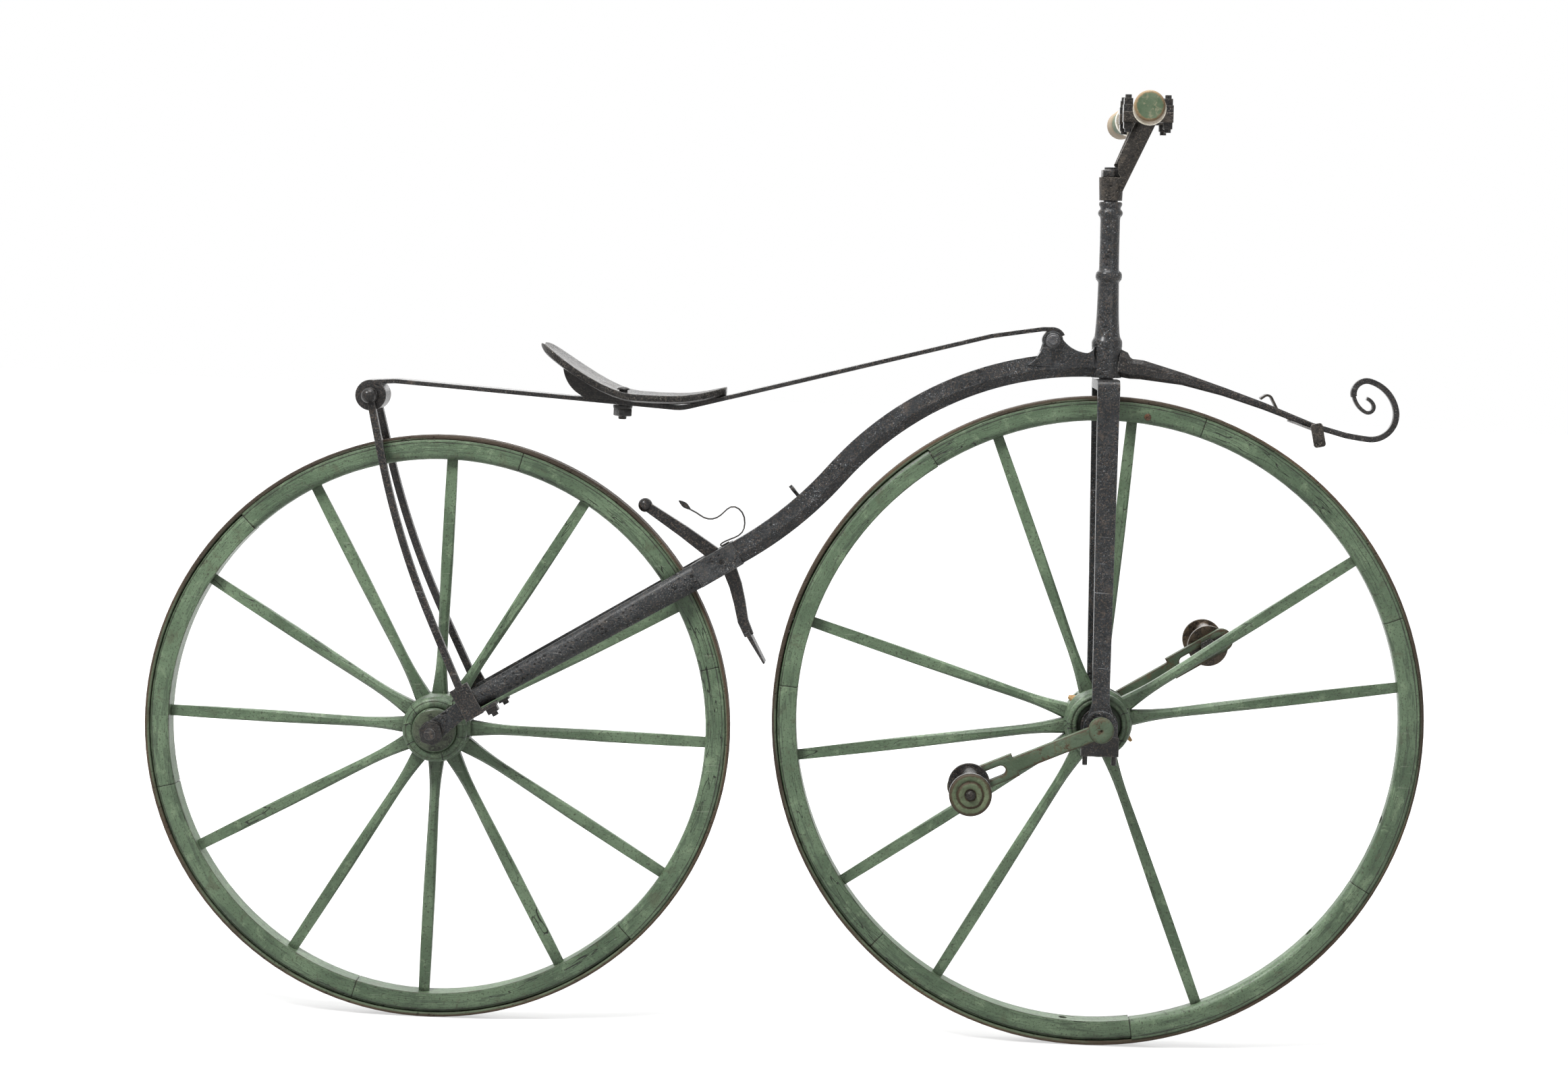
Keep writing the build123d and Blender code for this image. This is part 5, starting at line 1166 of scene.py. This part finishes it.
@dataclass
class HeadColumn:
    """The turned steering column with its three beads."""

    bench: Bench
    foot_rise: float = 0.526
    profile: Profile = (
        (0.0, 0.0), (21.4, 0.0), (21.4, 6.5), (20.9, 8.8), (19.4, 11.4), (18.0, 14.5), (17.1, 20.0), (16.4, 30.0),
        (15.7, 41.0), (15.0, 65.0), (14.6, 88.0), (14.9, 90.6), (16.2, 92.0), (17.7, 93.8), (18.4, 96.6), (18.5, 99.0),
        (18.3, 101.6), (17.4, 104.0), (15.8, 105.6), (14.4, 106.8), (13.9, 110.0), (13.7, 145.0), (13.8, 177.0),
        (14.3, 180.6), (15.8, 182.4), (17.0, 184.2), (17.4, 186.5), (17.0, 188.8), (15.8, 190.6), (14.5, 192.0),
        (14.3, 193.6), (14.9, 195.4), (15.9, 197.0), (16.3, 199.2), (16.0, 201.2), (15.0, 202.0), (0.0, 202.0))

    def build(self) -> None:
        """Turn the column and stand it on the socket."""
        piece = self.bench.turned("turned_head_column", self.profile, 56)
        self.bench.place(piece, seat(FRONT_AXLE + STEER_UP * self.foot_rise, STEER_UP))
        self.bench.finish(piece, Body.FRAME, "frame_iron", "blue_iron", 50.0, "head_column")


@dataclass
class ReturnSpring:
    """The brake's bent return spring, drawn out to a leaf where the cord hooked on."""

    bench: Bench
    width: float = 7.0
    gauge: float = 2.0
    leaf_foot: tuple[float, float] = (52.6, -159.0)
    leaf_tip: tuple[float, float] = (35.2, -146.8)
    leaf_flatness: float = 0.3
    leaf_shape: Profile = ((0.0, 0.0), (1.2, 0.03), (2.6, 0.2), (3.9, 0.42), (3.8, 0.58), (2.4, 0.8), (1.0, 0.95),
                           (0.0, 1.0))
    route: Profile = (
        (108.2, -202.1), (98.6, -207.8), (97.0, -207.4), (96.7, -205.8), (98.6, -204.0), (103.2, -201.2),
        (109.3, -198.3), (116.0, -195.4), (121.6, -192.2), (126.0, -187.8), (128.6, -182.0), (129.3, -174.6),
        (128.2, -166.6), (125.0, -159.8), (120.2, -154.9), (114.4, -152.4), (108.8, -152.9), (104.0, -156.0),
        (99.5, -160.6), (94.9, -165.1), (89.8, -168.6), (84.1, -170.6), (78.0, -170.8), (72.0, -169.3),
        (66.5, -166.4), (61.4, -163.2), (56.6, -160.8), (51.6, -158.4))

    def strip(self) -> Piece:
        """Bend the strip from its foot on the crotch to the leaf.

        Returns:
            The strip.
        """
        piece = self.bench.chain("return_spring_strip", self.route)
        self.bench.shift((0.0, -self.width / 2.0 / MM, 0.0))
        self.bench.draw_out((0.0, self.width / MM, 0.0))
        self.bench.close()
        thick = piece.modifiers.new("gauge", "SOLIDIFY")
        thick.thickness, thick.offset = self.gauge / MM, 0.0
        bpy.ops.object.modifier_apply(modifier=thick.name)
        return piece

    def leaf(self) -> Piece:
        """Draw out the leaf.

        Returns:
            The leaf.
        """
        foot, tip = (Vector((point[0], 0.0, point[1])) / MM for point in (self.leaf_foot, self.leaf_tip))
        run = (tip - foot).length * MM
        piece = self.bench.turned("return_spring_leaf", [(half, rise * run) for half, rise in self.leaf_shape], 24)
        self.bench.edit(piece)
        self.bench.stretch((1.0, self.leaf_flatness, 1.0))
        self.bench.done()
        return self.bench.place(piece, seat(foot, (tip - foot).normalized()))

    def build(self) -> None:
        """Make the spring and stand it on the crotch."""
        piece = self.bench.join([self.strip(), self.leaf()], "bent_return_spring")
        self.bench.finish(piece, Body.FRAME, "frame_iron", "black_iron", 40.0, "brake_return_spring")


@dataclass
class SaddlePan:
    """The dished iron seat pan, drawn out from cantle to nose.

    Each station is X, Z, half width and half thickness, in millimetres.
    """

    bench: Bench
    dish: float = 1.15
    dish_level: float = 0.72
    cuts: int = 10
    edge_round: float = 2.6
    stations: tuple[tuple[float, float, float, float], ...] = (
        (-162.4, 63.8, 22.0, 1.7), (-160.8, 62.2, 27.0, 3.2), (-158.0, 60.0, 34.0, 4.5), (-153.0, 56.6, 43.0, 5.3),
        (-144.0, 50.4, 54.0, 5.5), (-128.0, 39.6, 63.5, 5.5), (-110.0, 28.2, 69.0, 5.3), (-92.0, 17.8, 70.0, 5.1),
        (-74.0, 8.8, 68.4, 4.9), (-58.0, 2.4, 66.4, 4.7), (-44.0, -1.8, 64.4, 4.6), (-30.0, -3.8, 62.6, 4.5),
        (0.0, -4.5, 59.0, 4.5), (24.0, -4.3, 56.0, 4.5), (40.0, -3.3, 53.6, 4.5), (56.0, -0.8, 49.6, 4.5),
        (70.0, 2.2, 43.6, 4.5), (82.0, 5.4, 35.6, 4.5), (90.0, 7.8, 27.0, 4.4), (94.4, 9.2, 20.0, 4.2),
        (96.0, 9.7, 15.0, 4.0))

    def section(self) -> Piece:
        """Bend the pan's cross-section, two units wide.

        Returns:
            The piece, open in edit mode with all of it selected.
        """
        bench = self.bench
        bench.clear()
        bpy.ops.mesh.primitive_grid_add(x_subdivisions=1, y_subdivisions=self.cuts, size=2.0, location=ORIGIN,
                                        rotation=(0.0, math.radians(90.0), 0.0))
        piece = bench.take("saddle_pan")
        for step in range(self.cuts + 1):
            across = 2.0 * step / self.cuts - 1.0
            bench.pick_points(piece, lambda place, line=across: abs(place.y - line) < 0.05)
            bench.shift((0.0, 0.0, self.dish * (across * across - self.dish_level)))
        bpy.ops.mesh.select_all(action="SELECT")
        return piece

    def build(self) -> None:
        """Draw the pan out from its section and round its edges."""
        bench, piece = self.bench, self.section()
        x, z, half, thick = self.stations[0]
        bench.stretch((1.0, half / MM, thick / MM))
        bench.shift((x / MM, 0.0, z / MM))
        for before, after in zip(self.stations, self.stations[1:]):
            bench.draw_out(((after[0] - before[0]) / MM, 0.0, (after[1] - before[1]) / MM))
            bench.stretch((1.0, after[2] / before[2], after[3] / before[3]), (after[0] / MM, 0.0, after[1] / MM))
        bpy.ops.mesh.select_all(action="SELECT")
        bpy.ops.mesh.normals_make_consistent(inside=False)
        bpy.ops.mesh.select_all(action="DESELECT")
        bpy.ops.mesh.select_mode(type="EDGE")
        bpy.ops.mesh.edges_select_sharp(sharpness=math.radians(50.0))
        bpy.ops.mesh.bevel(offset=self.edge_round / MM, segments=3, affect="EDGES", clamp_overlap=True)
        bench.close()
        bench.finish(piece, Body.FRAME, "saddle_hide", "saddle_dark", 60.0, "saddle")


@dataclass
class CrankTrim:
    """The riveted axle heads, the pedals' face rings and the domed pin ends."""

    bench: Bench
    axle_end: float = 93.0
    disc_face: float = 185.0
    pin_end: float = 190.0
    head: Profile = ((0.0, 0.9), (1.3, 1.0), (1.9, 2.3), (2.8, 2.6), (10.0, 2.9), (14.5, 2.6), (16.6, 1.9),
                     (17.5, 0.7), (17.5, -0.4), (0.0, -0.4))
    ring: Profile = ((7.2, -0.5), (7.2, 2.0), (8.6, 2.7), (14.0, 2.9), (15.9, 2.3), (16.6, 1.0), (17.2, 0.4),
                     (18.6, 0.3), (19.6, 0.9), (21.6, 1.1), (25.5, 1.0), (27.8, 0.5), (28.6, -0.5), (7.2, -0.5))
    dome: Profile = ((0.0, 4.2), (2.6, 3.8), (4.9, 2.7), (6.2, 1.2), (6.6, -0.4), (0.0, -0.4))

    def heads(self) -> None:
        """Rivet the axle's ends over the crank bosses."""
        model = self.bench.turned("front_axle_heads", self.head, 40)
        piece = self.bench.spread(model, "front_axle_heads", face_seats(FRONT_AXLE, self.axle_end))
        self.bench.finish(piece, Body.FRONT_WHEEL, "green_iron", "crank_paint", 40.0)

    def pedals(self) -> None:
        """Turn the raised rings of the pedals' outer faces and the pins' domed ends."""
        bench = self.bench
        for face, (name, pin, body) in enumerate((("right", RIGHT_PIN, Body.RIGHT_PEDAL),
                                                  ("left", LEFT_PIN, Body.LEFT_PEDAL))):
            piece = bench.turned(f"pedal_ring_{name}", self.ring, 48)
            bench.place(piece, face_seats(pin, self.disc_face)[face])
            bench.finish(piece, body, "pedal_iron", f"{name}_pedal_face", 40.0)
            piece = bench.turned(f"pedal_pin_dome_{name}", self.dome, 28)
            bench.place(piece, face_seats(pin, self.pin_end)[face])
            bench.finish(piece, Body.FRONT_WHEEL, "pedal_iron", "brown_iron", 60.0)

    def build(self) -> None:
        """Make all of the cranks' trim."""
        self.heads()
        self.pedals()


@dataclass
class Hardware:
    """The nuts and bolt heads, filed on their corners."""

    bench: Bench
    rear_inner: float = 61.0
    nut_seat: float = 15.4
    bolt_head: Profile = ((0.0, 3.2), (3.6, 3.2), (4.0, 2.9), (4.4, 3.3), (6.4, 3.0), (7.4, 2.2), (7.6, 1.2),
                          (9.6, 1.1), (10.3, 0.5), (10.4, -0.4), (0.0, -0.4))

    def nut(self, name: str, sides: int, across: float, height: float, tail_radius: float, tail: float,
            washer: float = 0.0) -> Piece:
        """Model one nut with its bolt end, standing on the origin, in millimetres.

        Args:
            name: The nut's name.
            sides: Number of flats.
            across: Size across the flats.
            height: Its height.
            tail_radius: Radius of the bolt end that stands out of it.
            tail: How far that end stands out.
            washer: Radius of a washer under it, or 0.

        Returns:
            The nut.
        """
        bench, flat = self.bench, across / MM
        bench.clear()
        bpy.ops.mesh.primitive_cylinder_add(vertices=sides, radius=flat / 2.0 / math.cos(math.pi / sides),
                                            depth=height / MM, location=(0.0, 0.0, height / 2.0 / MM))
        piece = bench.take(name)
        bpy.ops.mesh.bevel(offset=flat * 0.06, segments=2, affect="EDGES")
        top = height / MM - 0.00001
        bench.pick(piece, lambda middle, normal: normal.z > 0.9 and middle.z > top)
        bpy.ops.mesh.inset(thickness=flat * 0.07, depth=flat * 0.03)
        bench.done()
        low, high = height - 0.6, height + tail
        end = [(0.0, low), (tail_radius, low), (tail_radius, high - 1.0), (tail_radius * 0.86, high),
               (tail_radius * 0.5, high), (tail_radius * 0.44, high - 0.7), (0.0, high - 0.8)]
        parts = [piece, bench.turned(name + "_end", end, 24)]
        if washer:
            plate = [(0.0, -0.3), (washer, -0.3), (washer, 1.3), (washer * 0.94, 1.9), (0.0, 1.9)]
            parts.append(bench.turned(name + "_washer", plate, 36))
        return bench.join(parts, name)

    @staticmethod
    def middle(node: str) -> tuple[Vector, Vector, Vector]:
        """Find the low corner, the high corner and the middle of a node's box."""
        low, high = (Vector(corner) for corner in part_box(node))
        return low, high, (low + high) / 2.0

    def axle_nuts(self) -> None:
        """Screw the hexagonal nuts on the rear axle."""
        model = self.nut("rear_nut", 6, 30.5, 11.0, 7.9, 6.0, 16.8)
        piece = self.bench.spread(model, "rear_axle_hex_nuts", face_seats(REAR_AXLE, self.rear_inner, 14.0))
        self.bench.finish(piece, Body.FRAME, "frame_iron", "nut_iron", 30.0, "rear_axle_nuts")

    def saddle_bolt(self) -> None:
        """Fit the round-headed bolt through the saddle, with its washer and square nut below the spring."""
        low, _, middle = self.middle("saddle_bolt")
        foot = low.z * MM
        shank = [(0.0, 9.4), (4.0, 9.0), (7.4, 7.8), (9.0, 6.2), (9.0, 5.0), (6.0, 4.6), (6.0, foot + 20.0),
                 (13.6, foot + 20.0), (13.8, foot + 18.6), (13.4, foot + 15.4), (6.0, foot + 15.0), (0.0, foot + 15.0)]
        bolt = self.bench.turned("saddle_bolt_shank", shank, 36)
        self.bench.place(bolt, seat((middle.x, 0.0, 0.0)))
        nut = self.nut("saddle_bolt_nut", 4, 19.6, 10.6, 5.8, 4.6)
        self.bench.place(nut, seat((middle.x, 0.0, (foot + self.nut_seat) / MM), (0.0, 0.0, -1.0), 12.0))
        piece = self.bench.join([bolt, nut], "saddle_round_bolt")
        self.bench.finish(piece, Body.FRAME, "frame_iron", "nut_iron", 30.0, "saddle_bolt")

    def lug_bolt(self) -> None:
        """Cap both ends of the spring's front bolt with a washer and a filed round head."""
        low, high, middle = self.middle("spring_front_bolt")
        model = self.bench.turned("lug_bolt_head", self.bolt_head, 36)
        seats = [seat((middle.x, end, middle.z), (0.0, side, 0.0)) for end, side in ((low.y, -1.0), (high.y, 1.0))]
        piece = self.bench.spread(model, "lug_bolt_heads", seats)
        self.bench.finish(piece, Body.FRAME, "frame_iron", "bolt_worn", 30.0)

    def stem_nut(self) -> None:
        """Screw the hexagonal nut on the stem's spindle."""
        foot = self.middle("stem_nut")[2] - STEER_UP * 0.0055
        model = self.nut("stem_nut_hex", 6, 26.5, 10.8, 9.6, 1.2)
        piece = self.bench.spread(model, "stem_hex_nut", [seat(foot, STEER_UP, 10.0)])
        self.bench.finish(piece, Body.STEERING, "frame_iron", "nut_iron", 30.0, "stem_nut")

    def build(self) -> None:
        """Make every nut and bolt head that shows."""
        self.axle_nuts()
        self.saddle_bolt()
        self.lug_bolt()
        self.stem_nut()


@dataclass
class WheelMarks:
    """What a century of use left on the front wheel: a stray screw and the stubs of lost spokes.

    Each splinter is its angle in degrees, its reach and half width in millimetres, and its lean.
    """

    bench: Bench
    screw_seat: tuple[float, float, float] = (0.68525, -0.0150, -0.00120)
    screw_head: Profile = ((0.0, 1.5), (2.6, 1.4), (4.2, 0.9), (4.9, 0.1), (4.9, -0.6), (0.0, -0.6))
    slot_half: float = 0.55
    slot_depth: float = 0.9
    splinter_root: float = 5.0
    splinter_foot: float = 0.0475
    splinter_set: tuple[tuple[float, float, float, float], ...] = (
        (139.5, 6.5, 7.0, 0.35), (336.0, 8.5, 5.5, -0.45), (333.0, 4.5, 4.0, 0.2))

    def screw(self) -> None:
        """Drive a slotted screw into the near face of the front rim."""
        bench, half = self.bench, self.slot_half / MM
        piece = bench.turned("rim_screw", self.screw_head, 24)
        bench.edit(piece)
        for side in (1.0, -1.0):
            bpy.ops.mesh.select_all(action="SELECT")
            bpy.ops.mesh.bisect(plane_co=(0.0, side * half, 0.0), plane_no=(0.0, 1.0, 0.0))
        bench.pick(piece, lambda middle, normal: abs(middle.y) < half - 0.00005 and normal.z > 0.2)
        bench.draw_out((0.0, 0.0, -self.slot_depth / MM))
        bench.close()
        bench.place(piece, seat(self.screw_seat, (0.0, -1.0, 0.0), 40.0))
        bench.finish(piece, Body.FRONT_WHEEL, "tyre_iron", "screw_rust", 30.0)

    def splinters(self) -> None:
        """Leave torn bare wood at two of the empty mortises."""
        bench, pieces = self.bench, []
        for index, (angle, reach, wide, lean) in enumerate(self.splinter_set):
            bench.clear()
            bpy.ops.mesh.primitive_cone_add(vertices=7, radius1=wide / MM, radius2=wide / 2.6 / MM,
                                            depth=(reach + self.splinter_root) / MM,
                                            location=(0.0, 0.0, (reach - self.splinter_root) / 2.0 / MM))
            sliver = bench.take(f"splinter_{index}")
            bpy.ops.mesh.subdivide(number_cuts=2, fractal=0.6, seed=7 + index)
            bench.stretch((1.0, 0.8, 1.0))
            bench.close()
            turn = math.radians(angle)
            out = Vector((math.cos(turn), 0.0, math.sin(turn)))
            aim = out + Vector((-out.z, 0.0, out.x)) * lean
            foot = FRONT_AXLE + out * self.splinter_foot + Vector((0.0, -0.004, 0.0))
            pieces.append(bench.place(sliver, seat(foot, aim, 20.0)))
        bench.finish(bench.join(pieces, "mortise_splinters"), Body.FRONT_WHEEL, "wedge_wood", "bare_wood", 20.0)

    def build(self) -> None:
        """Add the marks."""
        self.screw()
        self.splinters()


@dataclass
class Studio:
    """The pale floor, soft lamps, white surround and the camera."""

    eye: tuple[float, float, float] = (0.33573, -4.14967, 0.18131)
    pitch_degrees: float = 2.5
    roll_degrees: float = 2.47
    lens_mm: float = 68.158
    shift: tuple[float, float] = (-0.07229, -0.0852)
    aim: tuple[float, float, float] = (0.3, 0.0, -0.4)
    ambient: float = 0.12

    def world(self) -> None:
        """Light the scene with an even sky that the camera sees as white."""
        world = bpy.data.worlds.new("surround")
        bpy.context.scene.world = world
        world.use_nodes = True
        world.node_tree.nodes.clear()
        graph = Graph(world.node_tree)
        sky = graph.add("ShaderNodeBackground")
        sky.inputs["Color"].default_value = (1.0, 1.0, 1.0, 1.0)
        graph.feed(sky.inputs["Strength"], graph.plus(graph.times(graph.seen(), 1.0 - self.ambient), self.ambient))
        output = graph.add("ShaderNodeOutputWorld")
        graph.feed(output.inputs["Surface"], sky.outputs["Background"])

    def floor(self) -> None:
        """Lay a wide pale floor that keeps the shadow and fades to white."""
        bpy.ops.mesh.primitive_plane_add(size=40.0, location=(0.3, 0.0, GROUND_Z - 0.0004))
        floor = bpy.context.active_object
        floor.name = "studio_floor"
        graph, shader, material = new_material("floor_paper")
        place = graph.place()
        tone = graph.noise(place, 3.0, 2.0)
        graph.feed(shader.inputs["Base Color"], graph.mix(tone, srgb(168, 168, 167), srgb(174, 174, 174)))
        shader.inputs["Roughness"].default_value = 0.9
        shader.inputs["Emission Color"].default_value = (1.0, 1.0, 1.0, 1.0)
        away = graph.add("ShaderNodeVectorMath", operation="LENGTH")
        graph.feed(away.inputs[0], place)
        far = graph.step(away.outputs["Value"], 0.7, 1.9)
        glow = graph.times(graph.seen(), graph.plus(0.58, graph.times(far, 0.6)))
        graph.feed(shader.inputs["Emission Strength"], glow)
        floor.data.materials.append(material)

    def lamp(self, name: str, place: Sequence[float], size: float, watts: float,
             aim: Optional[Sequence[float]] = None, glints: bool = True) -> None:
        """Hang one soft square lamp.

        Args:
            name: The lamp's name.
            place: Where it hangs.
            size: Its side in metres.
            watts: Its power.
            aim: The point that it faces, if not the machine's middle.
            glints: Whether it shows in reflections.
        """
        light = bpy.data.lights.new(name, "AREA")
        light.size = size
        light.energy = watts
        lamp = bpy.data.objects.new(name, light)
        bpy.context.scene.collection.objects.link(lamp)
        lamp.location = place
        lamp.rotation_euler = (Vector(aim or self.aim) - Vector(place)).to_track_quat("-Z", "Y").to_euler()
        lamp.visible_glossy = glints

    def lamps(self) -> None:
        """Hang the key, fill, top and back lamps and the fill of the far side."""
        self.lamp("key_lamp", (-1.6, -1.9, 2.7), 0.9, 200.0, (0.2, 0.0, -0.3))
        self.lamp("fill_lamp", (2.4, -3.0, 0.6), 1.6, 14.0, (0.4, 0.0, -0.4))
        self.lamp("top_lamp", (0.3, -0.2, 2.6), 1.6, 110.0)
        self.lamp("back_lamp", (0.2, 3.2, 1.4), 2.6, 40.0)
        self.lamp("far_fill_lamp", (0.8, 3.2, 1.6), 1.8, 55.0, glints=False)

    def camera(self) -> None:
        """Set the camera square to the machine's right side, rolled as the photograph is."""
        lens = bpy.data.cameras.new("photo_camera")
        lens.sensor_width = 36.0
        lens.lens = self.lens_mm
        lens.shift_x, lens.shift_y = self.shift
        lens.clip_end = 100.0
        camera = bpy.data.objects.new("photo_camera", lens)
        bpy.context.scene.collection.objects.link(camera)
        upright = Matrix.Rotation(math.radians(90.0 - self.pitch_degrees), 4, "X")
        rolled = Matrix.Rotation(math.radians(self.roll_degrees), 4, "Z")
        camera.matrix_world = Matrix.Translation(self.eye) @ upright @ rolled
        bpy.context.scene.camera = camera

    def build(self) -> None:
        """Set up the whole studio."""
        bpy.context.scene.view_settings.view_transform = "Standard"
        self.world()
        self.floor()
        self.lamps()
        self.camera()


@dataclass
class Dresser:
    """Puts the finishes on the solid nodes."""

    nodes: dict[str, Piece]
    made: dict[str, Material] = field(default_factory=dict)

    def woods(self) -> list[object]:
        """List the wheels' painted wood and tyres, the grips and the raw wood.

        Returns:
            The finishes.
        """
        finishes: list[object] = [WornGrip("grip_wood", GRIP_CENTRE, 0.0192), BareWood("bare_wood")]
        for wheel, centre, radius, turn in (("front", FRONT_AXLE, FRONT_RADIUS, 0.4),
                                            ("rear", REAR_AXLE, REAR_RADIUS, 1.1)):
            finishes += [
                GreenWood(f"{wheel}_rim_paint", centre, radius - 0.02, GrainRun.ROUND_THE_RIM),
                GreenWood(f"{wheel}_spoke_paint", centre, 0.2, GrainRun.ALONG_THE_SPOKE, weather=0.4, ease=0.001),
                GreenWood(f"{wheel}_hub_paint", centre, 0.04, GrainRun.ALONG_THE_AXLE, 0.95, turn),
                TyreIron(f"{wheel}_tyre_rust", centre, radius - 0.0045)]
        return finishes

    def metals(self) -> list[object]:
        """List the irons and the plated metal.

        Returns:
            The finishes.
        """
        return [
            OldIron("black_iron"),
            OldIron("brown_iron", (40, 37, 34), (124, 118, 110), (64, 56, 47), rust_share=0.6, pitting=1.0, gloss=0.46,
                    bright=0.7, sheen=0.2),
            OldIron("blue_iron", (27, 30, 33), (150, 153, 156), rust_share=0.45, pitting=0.9, gloss=0.32, bright=0.8,
                    ease=0.0018),
            OldIron("leg_iron", (47, 49, 51), (140, 140, 138), (70, 62, 54), rust_share=0.45, pitting=1.1, gloss=0.42,
                    bright=0.8, ease=0.0022, sheen=0.1),
            OldIron("nut_iron", (20, 20, 20), (92, 90, 86), (52, 42, 34), pitting=0.5, gloss=0.36),
            OldIron("bolt_worn", (66, 67, 70), (150, 150, 148), (70, 60, 50), rust_share=0.35, pitting=0.4, gloss=0.30),
            OldIron("screw_rust", (70, 48, 34), (120, 96, 74), (112, 74, 46), rust_share=0.8, pitting=0.6, gloss=0.55),
            OldIron("pedal_black", (24, 24, 25), (104, 98, 88), (66, 52, 40), pitting=0.5, gloss=0.30),
            OldIron("pedal_rust", (52, 44, 36), (112, 102, 88), (98, 80, 60), rust_share=0.75, pitting=0.6, gloss=0.42),
            OldIron("hub_boss_worn", (40, 43, 33), (86, 96, 76), (74, 84, 63), rust_share=0.9, pitting=0.5, gloss=0.5),
            OldIron("saddle_dark", (32, 31, 30), (146, 142, 132), (62, 55, 48), rust_share=0.45, pitting=0.9,
                    gloss=0.42, bright=0.9, sheen=0.12),
            OldIron("wedge_dark", (26, 25, 24), (96, 90, 80), (48, 42, 36), pitting=0.3, gloss=0.45),
            GreenIron("crank_paint"),
            PedalFace("right_pedal_face", RIGHT_PIN),
            PedalFace("left_pedal_face", LEFT_PIN),
            BrightMetal("ferrule_plate")]

    def dress(self) -> None:
        """Make every finish and give each node its own."""
        self.made.update({finish.name: finish.make() for finish in self.woods() + self.metals()})
        coats = {
            "front_tyre": "front_tyre_rust", "rear_tyre": "rear_tyre_rust",
            "front_felloes": "front_rim_paint", "rear_felloes": "rear_rim_paint",
            "front_spokes": "front_spoke_paint", "rear_spokes": "rear_spoke_paint",
            "front_hub": "front_hub_paint", "rear_hub": "rear_hub_paint",
            "crank_right": "crank_paint", "crank_left": "crank_paint",
            "pedal_right": "pedal_black", "pedal_left": "pedal_rust",
            "grip_right": "grip_wood", "grip_left": "grip_wood", "grip_ferrules": "ferrule_plate",
            "saddle": "saddle_dark", "saddle_wedge": "wedge_dark", "stem": "brown_iron", "leg_rest": "brown_iron",
            "backbone": "blue_iron", "front_fork": "blue_iron", "head_column": "blue_iron", "rear_fork": "leg_iron",
        }
        for name, node in self.nodes.items():
            coat = coats.get(name, "nut_iron" if "nut" in name or "bolt" in name else "black_iron")
            node.data.materials.clear()
            node.data.materials.append(self.made[coat])
            LOG.info("dressed %s in %s", name, coat)


def main() -> None:
    """Load the frame, dress it, add the new pieces and set the studio."""
    logging.basicConfig(level=logging.INFO, format="%(message)s")
    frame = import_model()
    EffectShop().build()
    dresser = Dresser(frame["nodes"])
    dresser.dress()
    bench = Bench(dresser.made)
    SpokeSet(bench, "front", Body.FRONT_WHEEL, FRONT_AXLE, 8.9, 14, 423.0, LOST_SPOKES).build()
    SpokeSet(bench, "rear", Body.REAR_WHEEL, REAR_AXLE, 29.0, 12, 376.0).build()
    RimJoints(bench, "front", Body.FRONT_WHEEL, FRONT_AXLE, 437.0, 21.5, 7).build()
    RimJoints(bench, "rear", Body.REAR_WHEEL, REAR_AXLE, 390.0, 14.6, 6).build()
    for trim in (HubTrim, HeadColumn, ReturnSpring, SaddlePan, CrankTrim, Hardware, WheelMarks):
        trim(bench).build()
    Studio().build()


if __name__ == "__main__":
    main()
